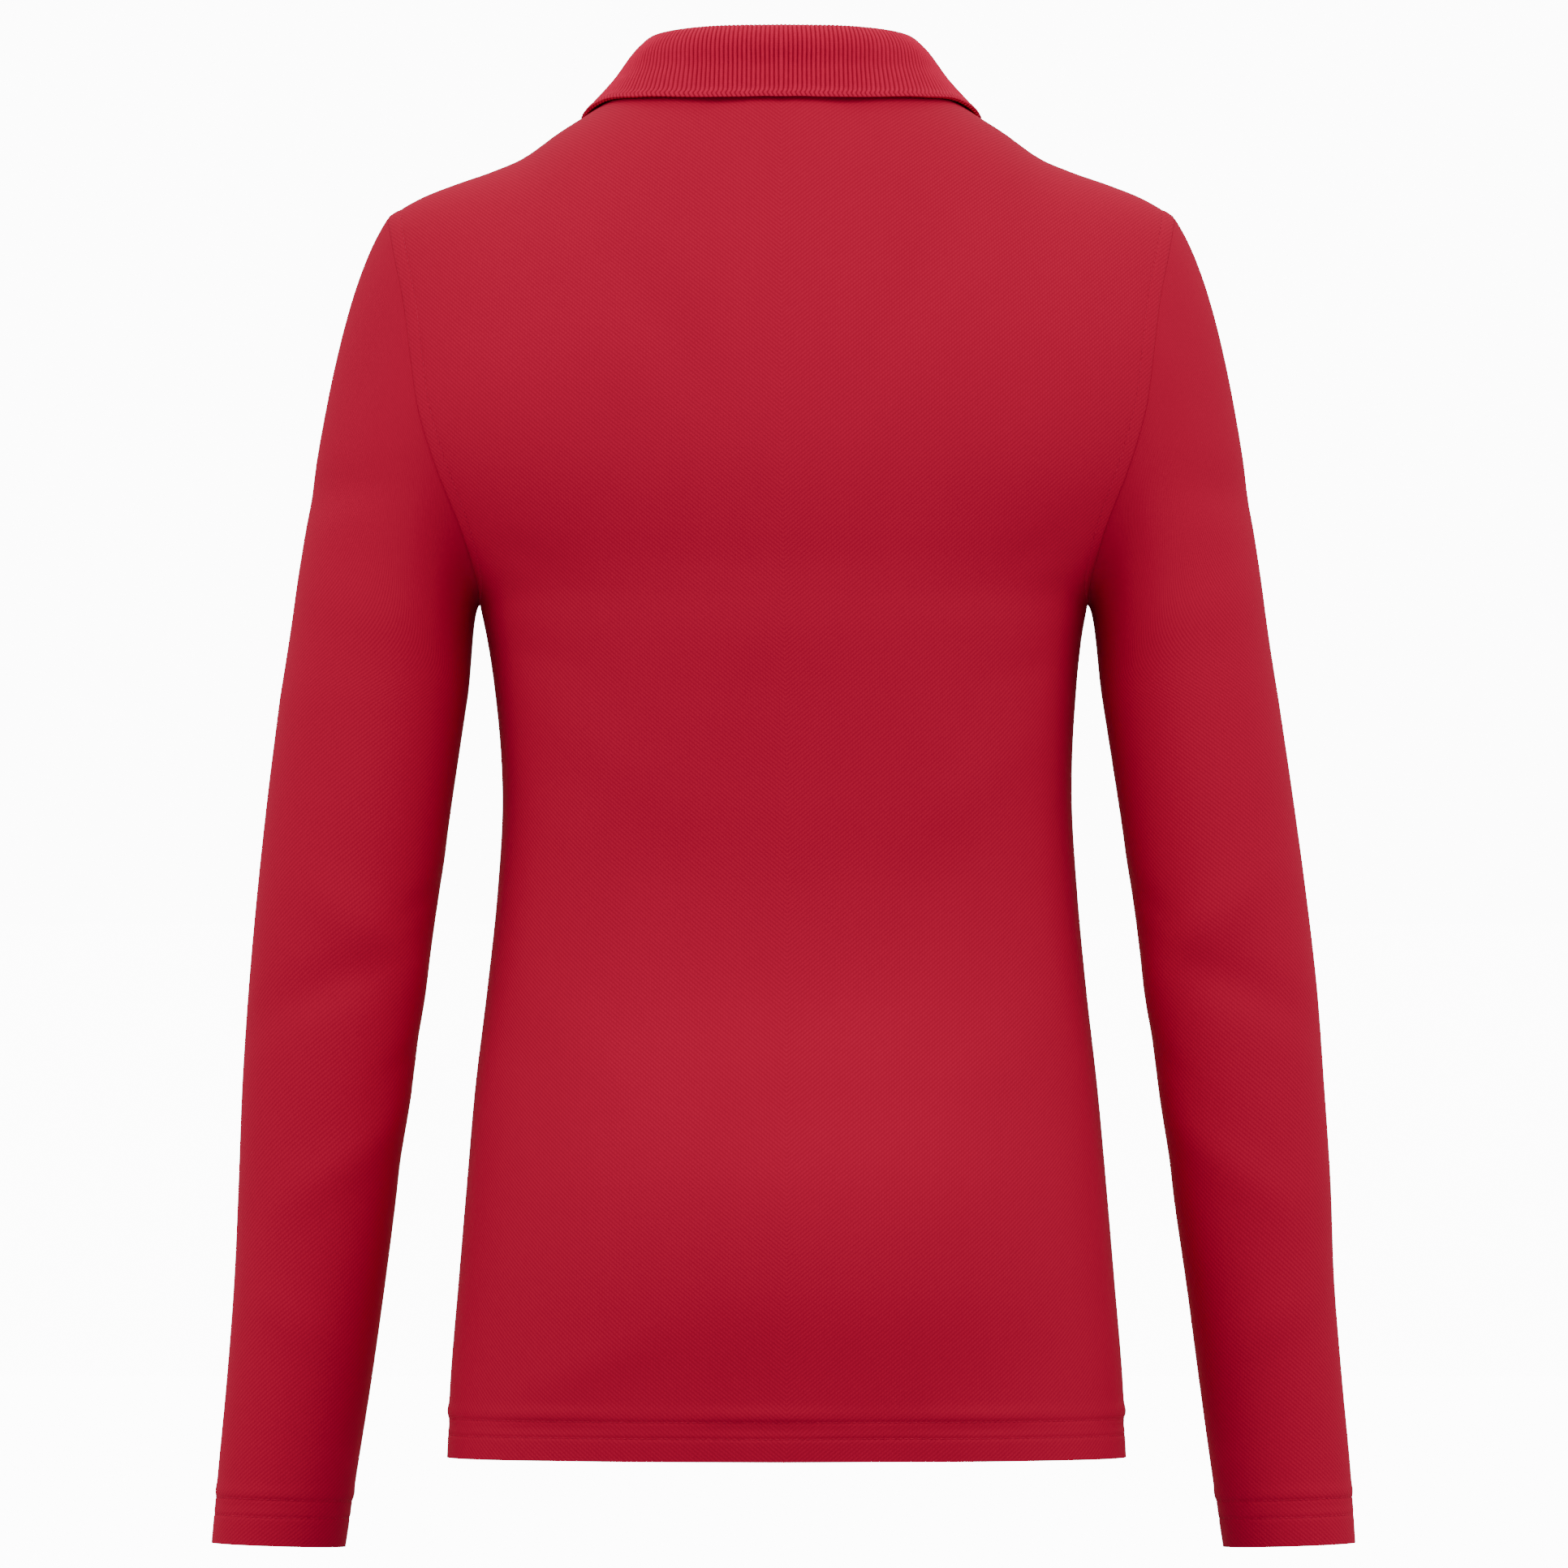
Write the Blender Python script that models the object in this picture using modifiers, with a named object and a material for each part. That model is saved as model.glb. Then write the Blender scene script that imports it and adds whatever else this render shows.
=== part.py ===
"""Long-sleeve polo shirt in a pique knit with a 1x1 rib collar, filled out as if worn.

Metres, +Z up. The front faces -Y and the wearer's left is +X. The origin is the middle of the
neck base at the height where the shirt rests on the shoulders. Every piece of cloth is a wall of
true shape: the two panels are walls on one torso surface, the sleeves are walls between the
armholes and the cuffs, and the collar is a strip that stands up from the neckline and folds over.
"""
import math

import bpy
import numpy as np

CM = 0.01
MM = 0.001


def chart(columns, *rows):
    """Named columns of a short table that is written in centimetres."""
    names = columns.split()
    return {name: CM * np.array([row[i] for row in rows]) for i, name in enumerate(names)}


# ---- driving dimensions ---------------------------------------------------------------------

CLOTH = 1.6 * MM            # wall of the pique panels and sleeves
HEM_CLOTH = 2.4 * MM        # wall where the cloth is turned up at the hem and the cuffs
HEM_DEPTH = 2.0 * CM
CUFF_HEM_DEPTH = 2.2 * CM
RIB_CLOTH = 1.7 * MM        # wall of the rib collar, without the height of its ribs
SEAM_GAP = 0.3 * MM

# Torso sections, from the hem up. The half widths are what the outline shows; above the underarm
# they run on past the armholes. The back and front are the depths from the shoulder line.
TORSO = chart(
    "height  wide_back  wide_front  centre  back   front",
    (-64.05, 16.10,     16.10,      -0.12,   9.8,  11.8),
    (-60.4,  15.94,     15.94,      -0.12,  10.6,  11.8),
    (-55.8,  15.56,     15.56,      -0.12,  11.6,  11.6),
    (-51.2,  15.17,     15.17,      -0.12,  11.6,  11.4),
    (-46.5,  14.75,     14.75,      -0.11,  10.3,  11.1),
    (-41.9,  14.21,     14.21,      -0.13,   8.8,  10.9),
    (-37.3,  13.75,     13.75,      -0.16,   8.4,  10.9),
    (-32.7,  13.50,     13.50,      -0.15,   8.9,  11.4),
    (-28.1,  13.75,     13.75,      -0.08,   9.6,  12.5),
    (-24.6,  14.22,     14.22,       0.00,  10.1,  13.3),
    (-23.0,  14.66,     14.56,       0.02,  10.2,  13.6),
    (-21.7,  15.75,     15.20,       0.03,  10.3,  13.7),
    (-19.9,  17.40,     16.25,       0.05,  10.6,  13.7),
    (-17.6,  19.30,     17.40,       0.07,  10.9,  13.4),
    (-15.0,  20.50,     18.30,       0.09,  11.0,  12.8),
    (-12.0,  20.90,     19.20,       0.10,  10.9,  11.8),
    (-8.8,   20.80,     19.80,       0.12,  10.6,  10.3),
    (-5.3,   20.60,     20.10,       0.13,  10.3,   9.1),
    (0.0,    20.40,     20.30,       0.13,  10.2,   8.2),
    (4.5,    20.40,     20.40,       0.13,  10.2,   8.0))
ROUNDNESS = 2.2             # exponent of the torso's sections: 2 is an ellipse, more is squarer
SHOULDER_ROUND_FROM = -17.5 * CM    # above this height the torso rounds over to the shoulder line
SLOPE_STEP = 0.2 * MM       # over which the surface's slope is measured

# The shoulder line, from the neck out to the tip.
SHOULDER = chart(
    "out     height",
    (7.00,   1.00),
    (9.00,  -0.33),
    (10.30, -1.15),
    (12.00, -2.35),
    (13.75, -3.12),
    (15.50, -3.73),
    (17.20, -4.42),
    (18.66, -5.30),
    (20.50, -6.80))
NECK_OUT = 7.0 * CM
NECK_BACK = 6.0 * CM
NECK_BACK_HEIGHT = 1.0 * CM
NECK_FRONT_HEIGHT = -5.6 * CM
NECK_FRONT_SHAPE = 1.15     # more makes the front neckline drop later and steeper
TIP_HEIGHT = -5.3 * CM
TIP_OUT = 18.66 * CM

# The armhole seams, from the underarm up to the shoulder tip.
UNDERARM_HEIGHT = -23.7 * CM
ARMHOLE = chart(
    "height  back   front",
    (-23.7,  14.42, 14.42),
    (-22.8,  14.47, 14.42),
    (-21.5,  14.80, 14.62),
    (-20.1,  15.22, 14.92),
    (-17.6,  16.20, 15.48),
    (-16.0,  16.75, 15.85),
    (-14.3,  17.20, 16.20),
    (-12.6,  17.45, 16.50),
    (-11.2,  17.62, 16.80),
    (-9.0,   17.93, 17.35),
    (-7.4,   18.27, 17.98),
    (-5.3,   18.66, 18.66))

# Sleeve sections below the cap: where the outline's outer and inner sides are, how far the
# middle lies behind the shoulder line, and half the depth.
SLEEVE = chart(
    "height  left_outer  left_inner  right_outer  right_inner  behind  half_depth",
    (-68.3,  27.22,      20.83,      27.17,       20.86,       -3.6,   3.50),
    (-65.0,  26.91,      20.32,      26.94,       20.35,       -3.1,   3.55),
    (-60.4,  26.46,      19.58,      26.50,       19.70,       -2.4,   3.75),
    (-55.8,  26.10,      18.92,      26.12,       19.08,       -1.7,   4.00),
    (-51.2,  25.88,      18.31,      25.94,       18.40,       -1.1,   4.20),
    (-46.5,  25.69,      17.65,      25.62,       17.77,       -0.6,   4.40),
    (-41.9,  25.38,      17.00,      25.27,       17.10,       -0.2,   4.60),
    (-37.3,  24.96,      16.35,      24.73,       16.50,        0.1,   4.85),
    (-32.7,  24.46,      15.69,      24.10,       15.80,        0.2,   5.15),
    (-28.1,  23.88,      15.00,      23.42,       15.08,        0.2,   5.35))
SLEEVE_TOP = -28.1 * CM
SLEEVE_END = -68.3 * CM
SLEEVE_ROUNDNESS = 2.15
CUFF_TILT = 0.03            # rise of a sleeve section for each unit outwards
CAP_LEAVE = (0.63, 0.14, 0.65)      # the cap leaves the seam away from it, out of the body and down
CAP_ARRIVE = (0.17, 0.0, -0.985)     # how the cap joins the tube below
CAP_LEAVE_PULL = 0.66       # length of the cap's tangents as a share of its span
CAP_ARRIVE_PULL = 0.95
UNDERARM_PULL = 0.25        # and of the tangent with which it turns over at the underarm
UNDERARM_LEAN = 0.2         # how far that tangent leans away from the seam
UNDERARM_REACH = 3          # power by which the turned part stays near the underarm
CAP_CLOSER = 1.3            # power by which the cap's rows lie closer together at the seam
CAP_STEP = 0.5 * MM         # the sleeve starts this much lower than the panel's topstitched edge

# The collar, from centre back (share 0) round to centre front (share 100): the fold, and the
# edge of the fall. Columns are out to the side, behind the shoulder line, and up.
COLLAR = chart(
    "share  fold_out  fold_behind  fold_up  edge_out  edge_behind  edge_up",
    (0,     0.00,      6.25,       3.73,    0.00,      6.85,        0.28),
    (15,    3.35,      5.30,       3.68,    3.70,      6.20,        0.27),
    (30,    5.80,      2.60,       3.38,    7.30,      3.30,        0.32),
    (36,    6.24,      1.05,       3.17,    8.30,      1.50,        0.17),
    (42,    6.42,     -0.50,       2.88,    9.12,     -0.35,       -0.28),
    (55,    6.05,     -3.35,       1.38,    9.42,     -3.90,       -2.40),
    (70,    4.60,     -5.75,      -0.90,    9.00,     -7.50,       -5.60),
    (85,    2.55,     -7.30,      -2.90,    7.10,     -9.70,       -8.50),
    (100,   0.12,     -8.00,      -3.95,    5.00,    -10.80,      -10.60))
COLLAR_END = 1.2 * MM       # the strip's two ends stop this far from the centre front
RIBS = 224
RIB_HEIGHT = 0.55 * MM
FINE_PER_COARSE = 8         # columns of the ribbed face for one column of the plain faces
COARSE_COLUMNS = 2 * RIBS // FINE_PER_COARSE
COLLAR_FOOT = 0.45 * MM     # the strip's foot stands this far inside the panels' edge
FOLD_INNER = (-2.7 * MM, -2.4 * MM) # from the fold's top out and up to where the stand ends
FOLD_OUTER = (3.2 * MM, -2.6 * MM)  # and to where the fall starts
FOLD_UNDER = (0.1 * MM, -1.9 * MM)  # and to the hidden side of the fold
FALL_MIDDLE = 0.60          # where the fall's middle row lies between the fold and the edge
# How far that row bows out of a straight line: over the shoulders it is flat.
FALL = chart(
    "share  bow",
    (0,     0.15),
    (22,    0.12),
    (40,    0.08),
    (55,    0.09),
    (100,   0.15))
FALL_CLEAR = 1.2 * MM       # the fall's inner face stays this far off the panels
FALL_CLEAR_PLACKET = 3.2 * MM       # and this far beside the placket

PLACKET_WIDTH = 3.0 * CM
PLACKET_BOTTOM = -20.6 * CM
PLACKET_CLOTH = 1.3 * MM
PLACKET_LIFT = 0.5 * MM     # the upper strip's inner face over the panel
PLACKET_INSET = 0.8 * MM    # the under strip stops this short of the slit all round
PLACKET_OVERLAP = 1.5 * MM  # the upper strip covers the slit's sides by this much
PLACKET_FOOT = 8.0 * MM     # and runs on this far below the slit
PLACKET_TOP = 0.5 * MM      # and stops this short of the neckline
BUTTON_RADIUS = 5.5 * MM
BUTTON_THICKNESS = 2.4 * MM
BUTTON_HEIGHTS = (-7.6 * CM, -12.6 * CM, -17.6 * CM)
# A button's half section, as shares of its radius and of its thickness.
BUTTON_PROFILE = ((0.0, 0.55), (0.52, 0.55), (0.70, 1.0), (0.92, 0.85), (1.0, 0.5), (0.85, 0.0),
                  (0.0, 0.0))
BUTTON_STEPS = 18

# The largest folds: where the crease starts and ends, half its width and its height, in
# centimetres. A plus height is a ridge and a minus height a trough. On the panels a place is out
# to the left and up. On a sleeve it is round from the outer side over the back, in degrees, and up.
FOLD_COLUMNS = ("start_across", "start_up", "end_across", "end_up", "width", "height")
BACK_FOLDS = (
    (8.2, -6.0, 3.2, -14.5, 1.5, -0.16),
    (-8.0, -6.0, -3.4, -14.0, 1.5, -0.15),
    (11.6, -28.0, 6.0, -33.0, 1.6, 0.15),
    (-11.8, -29.0, -6.6, -34.5, 1.6, 0.14),
    (6.6, -31.0, 6.2, -40.0, 1.4, -0.20),
    (-6.8, -32.0, -6.4, -41.0, 1.4, -0.18),
    (12.5, -41.0, 7.0, -47.5, 1.8, 0.12),
    (-12.8, -42.0, -7.6, -48.0, 1.8, 0.12),
    (12.4, -60.8, 6.0, -58.0, 1.2, 0.12))
FRONT_FOLDS = (
    (9.8, -25.0, 4.0, -30.5, 1.8, -0.18),
    (-10.0, -25.0, -4.4, -31.0, 1.8, -0.17),
    (11.0, -33.0, 6.0, -42.0, 1.8, 0.16),
    (-10.8, -34.0, -5.6, -43.5, 1.8, 0.15),
    (3.5, -44.0, 2.0, -57.0, 2.0, -0.14),
    (-6.0, -46.0, -7.5, -58.0, 2.0, -0.14))
SLEEVE_FOLDS = (
    (5.0, -18.6, 95.0, -17.9, 1.1, -0.20),
    (20.0, -22.5, 120.0, -25.0, 1.4, 0.14),
    (265.0, -18.5, 350.0, -19.5, 1.2, -0.18),
    (60.0, -36.5, 165.0, -42.0, 1.3, 0.22),
    (30.0, -43.5, 150.0, -39.5, 1.2, -0.20),
    (200.0, -36.0, 330.0, -42.0, 1.4, 0.24),
    (70.0, -52.0, 165.0, -47.0, 1.2, 0.18),
    (190.0, -50.0, 300.0, -55.0, 1.4, -0.18),
    (40.0, -56.0, 140.0, -59.5, 1.2, 0.12))
DEGREES_FOR_1_CM = 13.0     # round a sleeve
FOLD_FADE_HEM = 3.0 * CM    # the panels' folds fade out over this height above the hem
FOLD_FADE_TOP = 4.0 * CM    # and below the top edge
FOLD_FADE_SIDE = 0.12       # and over this share of the half width beside the seams

RED_PIQUE = (0.41, 0.014, 0.033)
RED_RIB = (0.44, 0.016, 0.038)
RED_BUTTON = (0.36, 0.014, 0.030)

# Mesh fineness and how the panels' columns run.
SHARP_EDGE = 50.0
TORSO_COLUMNS = 28
COLUMNS_LEAN_FROM = -44.0 * CM      # above this height they start to lean to the shoulder seam
COLUMNS_LEAN_OVER = 20.0 * CM
COLUMNS_LEAN = 0.25                 # and have done so by this share at the underarm
TORSO_LOWER_ROWS = 12
TORSO_UPPER_ROWS = 9
NECK_COLUMNS = 7            # of the half row's columns, those that end in the neckline
SLEEVE_COLUMNS = 2 * TORSO_UPPER_ROWS
CAP_ROWS = 7
TUBE_ROWS = 13


# ---- small tools ----------------------------------------------------------------------------

def read(table, column, at):
    """A column of a table at any place, on a smooth curve through its rows."""
    places = next(iter(table.values()))
    values = table[column]
    slopes = np.gradient(values, places)
    at = np.clip(at, places[0], places[-1])
    i = np.clip(np.searchsorted(places, at, side="right") - 1, 0, len(places) - 2)
    span = places[i + 1] - places[i]
    t = (at - places[i]) / span
    return ((2 * t**3 - 3 * t**2 + 1) * values[i] + (t**3 - 2 * t**2 + t) * span * slopes[i]
            + (3 * t**2 - 2 * t**3) * values[i + 1] + (t**3 - t**2) * span * slopes[i + 1])


def unit(vectors):
    return vectors / np.linalg.norm(vectors, axis=-1, keepdims=True)


def lengths_along(points):
    """Distance walked along a line of points, from its first."""
    steps = np.linalg.norm(np.diff(points, axis=0), axis=1)
    return np.concatenate([[0.0], np.cumsum(steps)])


def even(points, count):
    """The same line with count + 1 points at even distances along it. Columns past the third
    are values that go with the points."""
    along = lengths_along(points[:, :3])
    at = np.linspace(0.0, along[-1], count + 1)
    return np.stack([np.interp(at, along, points[:, k]) for k in range(points.shape[1])], axis=1)


def smooth(share):
    """A share from 0 to 1 that starts and ends gently."""
    share = np.clip(share, 0.0, 1.0)
    return share * share * (3 - 2 * share)


def fold_height(folds, across, up, across_for_1_cm=1.0):
    """Height of the soft creases at places on a piece."""
    total = np.zeros(np.broadcast(across, up).shape)
    for crease in folds:
        fold = dict(zip(FOLD_COLUMNS, crease))
        run_across = (fold["end_across"] - fold["start_across"]) / across_for_1_cm
        run_up = fold["end_up"] - fold["start_up"]
        length = math.hypot(run_across, run_up)
        dx = (across - fold["start_across"]) / across_for_1_cm
        dz = up - fold["start_up"]
        along = (dx * run_across + dz * run_up) / length
        aside = (dx * run_up - dz * run_across) / length
        middle = np.clip(along / length, 0.0, 1.0)
        past = np.maximum(0.0, np.maximum(-along, along - length))
        swell = np.sin(np.pi * (0.12 + 0.76 * middle))
        total += fold["height"] * swell * np.exp(-((aside**2 + past**2) / fold["width"]**2))
    return total * CM


def make_material(name, colour, roughness):
    material = bpy.data.materials.new(name)
    material.use_nodes = True
    shader = material.node_tree.nodes["Principled BSDF"]
    shader.inputs["Base Color"].default_value = (*colour, 1.0)
    shader.inputs["Roughness"].default_value = roughness
    shader.inputs["Metallic"].default_value = 0.0
    return material


def make_object(name, points, faces, colour, roughness, collection):
    """One piece of the shirt as a mesh object with its own material."""
    mesh = bpy.data.meshes.new(name)
    mesh.from_pydata([tuple(p) for p in points], [], faces)
    mesh.validate()
    mesh.shade_smooth()
    mesh.set_sharp_from_angle(angle=math.radians(SHARP_EDGE))
    mesh.materials.append(make_material(name, colour, roughness))
    piece = bpy.data.objects.new(name, mesh)
    collection.objects.link(piece)
    return piece


def wall(outer, inner, keep=None, ring=False):
    """Points and faces of a closed wall between two grids of points.

    A grid has rows and columns. Where keep is given, only the cells that it marks are cloth.
    A ring's last column meets its first.
    """
    rows, columns = outer.shape[:2]
    cells = columns if ring else columns - 1
    if keep is None:
        keep = np.ones((rows - 1, cells), bool)
    points = np.concatenate([outer.reshape(-1, 3), inner.reshape(-1, 3)])
    inside = rows * columns

    def at(row, column):
        return row * columns + column % columns

    def cloth(row, column):
        if ring:
            column = column % cells
        return 0 <= row < rows - 1 and 0 <= column < cells and keep[row, column]

    faces = []
    for r in range(rows - 1):
        for c in range(cells):
            if not keep[r, c]:
                continue
            a, b = at(r, c), at(r, c + 1)
            d, e = at(r + 1, c), at(r + 1, c + 1)
            faces.append((a, b, e, d))
            faces.append((d + inside, e + inside, b + inside, a + inside))
            if not cloth(r - 1, c):
                faces.append((b, a, a + inside, b + inside))
            if not cloth(r + 1, c):
                faces.append((d, e, e + inside, d + inside))
            if not cloth(r, c - 1):
                faces.append((a, d, d + inside, a + inside))
            if not cloth(r, c + 1):
                faces.append((e, b, b + inside, e + inside))
    used = sorted({i for face in faces for i in face})
    place = {old: new for new, old in enumerate(used)}
    return points[used], [tuple(place[i] for i in face) for face in faces]


# ---- the torso surface ----------------------------------------------------------------------

def ridge_height(out):
    """Height at which the torso surface closes over: the shoulder line, and above the neck hole
    the height that makes the surface pass through the back neckline."""
    out = np.abs(out)
    line = read(SHOULDER, "height", out)
    inside = np.clip(out / NECK_OUT, 0.0, 1.0)
    behind = NECK_BACK * np.sqrt(1.0 - inside**2)
    across = np.abs(out / read(TORSO, "wide_back", NECK_BACK_HEIGHT))**ROUNDNESS
    deep = (behind / read(TORSO, "back", NECK_BACK_HEIGHT))**ROUNDNESS / (1.0 - across)
    rounded = np.maximum(1.0 - deep, 1e-6)**(1.0 / ROUNDNESS)
    over_neck = SHOULDER_ROUND_FROM + (NECK_BACK_HEIGHT - SHOULDER_ROUND_FROM) / rounded
    return np.where(out < NECK_OUT, over_neck, line)


def torso_level(out, behind, height, side):
    """Zero on the torso surface and positive outside it; out is measured from its middle."""
    across = np.abs(out / read(TORSO, "wide_" + side, height))**ROUNDNESS
    deep = np.abs(behind / read(TORSO, side, height))**ROUNDNESS
    over = (height - SHOULDER_ROUND_FROM) / (ridge_height(out) - SHOULDER_ROUND_FROM)
    return deep - (1.0 - across) * (1.0 - np.maximum(over, 0.0)**ROUNDNESS)


def torso_depth(out, height, side):
    """Distance of the torso surface from the shoulder line's plane."""
    across = np.abs(out / read(TORSO, "wide_" + side, height))**ROUNDNESS
    over = (height - SHOULDER_ROUND_FROM) / (ridge_height(out) - SHOULDER_ROUND_FROM)
    left = (1.0 - across) * (1.0 - np.maximum(over, 0.0)**ROUNDNESS)
    return read(TORSO, side, height) * np.maximum(left, 0.0)**(1.0 / ROUNDNESS)


def torso_slope(out, behind, height, side):
    """How fast torso_level grows along out, behind and height."""
    h = SLOPE_STEP
    return np.stack([
        torso_level(out + h, behind, height, side) - torso_level(out - h, behind, height, side),
        torso_level(out, behind + h, height, side) - torso_level(out, np.abs(behind - h), height, side),
        torso_level(out, behind, height + h, side) - torso_level(out, behind, height - h, side),
    ], axis=-1) / (2 * h)


def facing(side):
    """Turns directions and depths, which are measured as on the back, to the panel's side."""
    return np.array([1.0, 1.0 if side == "back" else -1.0, 1.0])


def torso_normal(out, behind, height, side):
    """Outward direction of the torso surface; behind is a depth without its sign."""
    return unit(torso_slope(out, behind, height, side)) * facing(side)


def torso_point(out, height, side, lift=0.0):
    """A point on the torso surface, moved out by lift; out is measured from its middle."""
    depth = np.maximum(torso_depth(out, height, side), SEAM_GAP / 2)
    normal = torso_normal(out, depth, height, side)
    point = np.stack([out, depth, height + 0.0 * out], axis=-1) * facing(side)
    point[..., 0] += read(TORSO, "centre", height)
    return point + np.asarray(lift)[..., None] * normal


def armhole_line(side, count):
    """Out and height of the armhole seam from the underarm to the tip, its points closer
    together at both ends."""
    rise = np.linspace(0.0, 1.0, 400)**2
    height = UNDERARM_HEIGHT + (TIP_HEIGHT - UNDERARM_HEIGHT) * rise
    out = np.minimum(read(ARMHOLE, side, height), read(TORSO, "wide_" + side, height))
    along = lengths_along(np.stack([out, torso_depth(out, height, side), height], axis=1))
    share = np.linspace(0.0, 1.0, count + 1)
    closer_at_ends = 0.5 * share + 0.5 * (0.5 - 0.5 * np.cos(math.pi * share))
    at = along[-1] * closer_at_ends
    return np.interp(at, along, out), np.interp(at, along, height)


def neckline(side, count):
    """Out and height of half the neckline, from the shoulder seam to the centre."""
    turn = np.linspace(0.0, math.pi / 2, 200)
    out = NECK_OUT * np.cos(turn)
    height = np.full(len(turn), NECK_BACK_HEIGHT)
    if side == "front":
        top = read(SHOULDER, "height", NECK_OUT)
        height = top + (NECK_FRONT_HEIGHT - top) * np.sin(turn)**NECK_FRONT_SHAPE
    along = lengths_along(np.stack([out, torso_depth(out, height, side), height], axis=1))
    at = np.linspace(0.0, along[-1], count + 1)
    return np.interp(at, along, out), np.interp(at, along, height)


# ---- the panels -----------------------------------------------------------------------------

def panel_half_grid(side):
    """Out and height of the grid of half a panel, rows from the hem up, columns from the edge
    (side seam, then armhole) to the column beside the centre one."""
    half = TORSO_COLUMNS // 2
    shoulder = half - NECK_COLUMNS
    slot = PLACKET_WIDTH / 2

    # The top edge: the shoulder seam, then the neckline.
    seam_out = np.linspace(TIP_OUT, NECK_OUT, shoulder + 1)
    seam_height = read(SHOULDER, "height", seam_out)
    neck_out, neck_height = neckline(side, 200)
    last = np.argmax(neck_out < slot)
    pick = even(np.stack([neck_out[:last], neck_height[:last]], axis=1), NECK_COLUMNS - 1)
    pick[-1] = slot, neck_height[last]
    top_out = np.concatenate([seam_out[:-1], pick[:, 0]])
    top_height = np.concatenate([seam_height[:-1], pick[:, 1]])
    top_share = (top_out - slot) / (TIP_OUT - slot)

    # The lower rows spread the columns evenly round the section.
    turn = np.linspace(0.0, math.pi / 2, half + 1)[:-1]
    low_out = np.cos(turn)**(2.0 / ROUNDNESS)
    low_share = (low_out - low_out[-1]) / (1.0 - low_out[-1])

    edge_out, edge_height = armhole_line(side, TORSO_UPPER_ROWS)
    hem = TORSO["height"][0]
    low_heights = np.linspace(hem, UNDERARM_HEIGHT, TORSO_LOWER_ROWS + 1)
    outs, heights = [], []
    for height in low_heights:
        blend = smooth((height - COLUMNS_LEAN_FROM) / COLUMNS_LEAN_OVER)
        wide = read(TORSO, "wide_" + side, height)
        beside = low_out[-1] * wide * (1 - blend) + slot * blend
        lean = COLUMNS_LEAN * blend
        share = low_share * (1 - lean) + top_share * lean
        outs.append(beside + (wide - beside) * share)
        heights.append(np.full(half, height))
    for row in range(1, TORSO_UPPER_ROWS + 1):
        rise = (edge_height[row] - UNDERARM_HEIGHT) / (TIP_HEIGHT - UNDERARM_HEIGHT)
        lean = COLUMNS_LEAN + (1.0 - COLUMNS_LEAN) * row / TORSO_UPPER_ROWS
        share = low_share * (1 - lean) + top_share * lean
        outs.append(slot + (edge_out[row] - slot) * share)
        heights.append(UNDERARM_HEIGHT + rise * (top_height - UNDERARM_HEIGHT))
    return np.array(outs), np.array(heights)


def panel_grid(side):
    """Out and height of a whole panel's grid, and the cells that are cloth."""
    out, height = panel_half_grid(side)
    slot_column = out.shape[1]
    middle_height = height[:, -1:]
    out = np.concatenate([out, np.zeros((len(out), 1)), -out[:, ::-1]], axis=1)
    height = np.concatenate([height, middle_height, height[:, ::-1]], axis=1)
    keep = np.ones((out.shape[0] - 1, out.shape[1] - 1), bool)
    if side == "front":
        in_slot = height[:-1, slot_column] > PLACKET_BOTTOM
        keep[in_slot, slot_column - 1:slot_column + 1] = False
    return out, height, keep


def make_panel(side, folds, collection):
    out, height, keep = panel_grid(side)
    hem = TORSO["height"][0]
    edge = np.abs(out) / np.abs(out[:, :1])
    fade = np.clip((height - hem) / FOLD_FADE_HEM, 0.0, 1.0)
    fade = fade * np.clip((1.0 - edge) / FOLD_FADE_SIDE, 0.0, 1.0)
    fade = fade * np.clip((height[-1:] - height) / FOLD_FADE_TOP, 0.0, 1.0)
    lift = fade * fold_height(folds, out / CM, height / CM)
    cloth = np.where(height < hem + HEM_DEPTH, HEM_CLOTH, CLOTH)
    outer = torso_point(out, height, side, lift)
    inner = torso_point(out, height, side, lift - cloth)
    points, faces = wall(outer, inner, keep)
    if side == "front":
        faces = [face[::-1] for face in faces]
    return make_object(side, points, faces, RED_PIQUE, 0.8, collection)


# ---- the sleeves ----------------------------------------------------------------------------

def grid_normals(grid, ring):
    """Directions square to a grid of points, by the differences of its neighbours."""
    along = np.gradient(grid, axis=0)
    around = np.gradient(grid, axis=1)
    if ring:
        around = np.roll(grid, -1, axis=1) - np.roll(grid, 1, axis=1)
    return unit(np.cross(around, along))


def armhole_loop(mirror):
    """The armhole seam as a closed line with its surface normals, from the tip over the back
    to the underarm and up the front. x is measured away from the middle of the body."""
    lines, normals = [], []
    for side in ("back", "front"):
        out, height = armhole_line(side, TORSO_UPPER_ROWS)
        depth = torso_depth(out, height, side)
        depth[0] = depth[-1] = 0.0
        normals.append(torso_normal(out, np.maximum(depth, SEAM_GAP / 2), height, side))
        x = out + mirror * read(TORSO, "centre", height)
        lines.append(np.stack([x, depth, height], axis=1) * facing(side))
    line = np.concatenate([lines[0][::-1], lines[1][1:-1]])
    normal = np.concatenate([normals[0][::-1], normals[1][1:-1]])
    return line, normal


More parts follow.
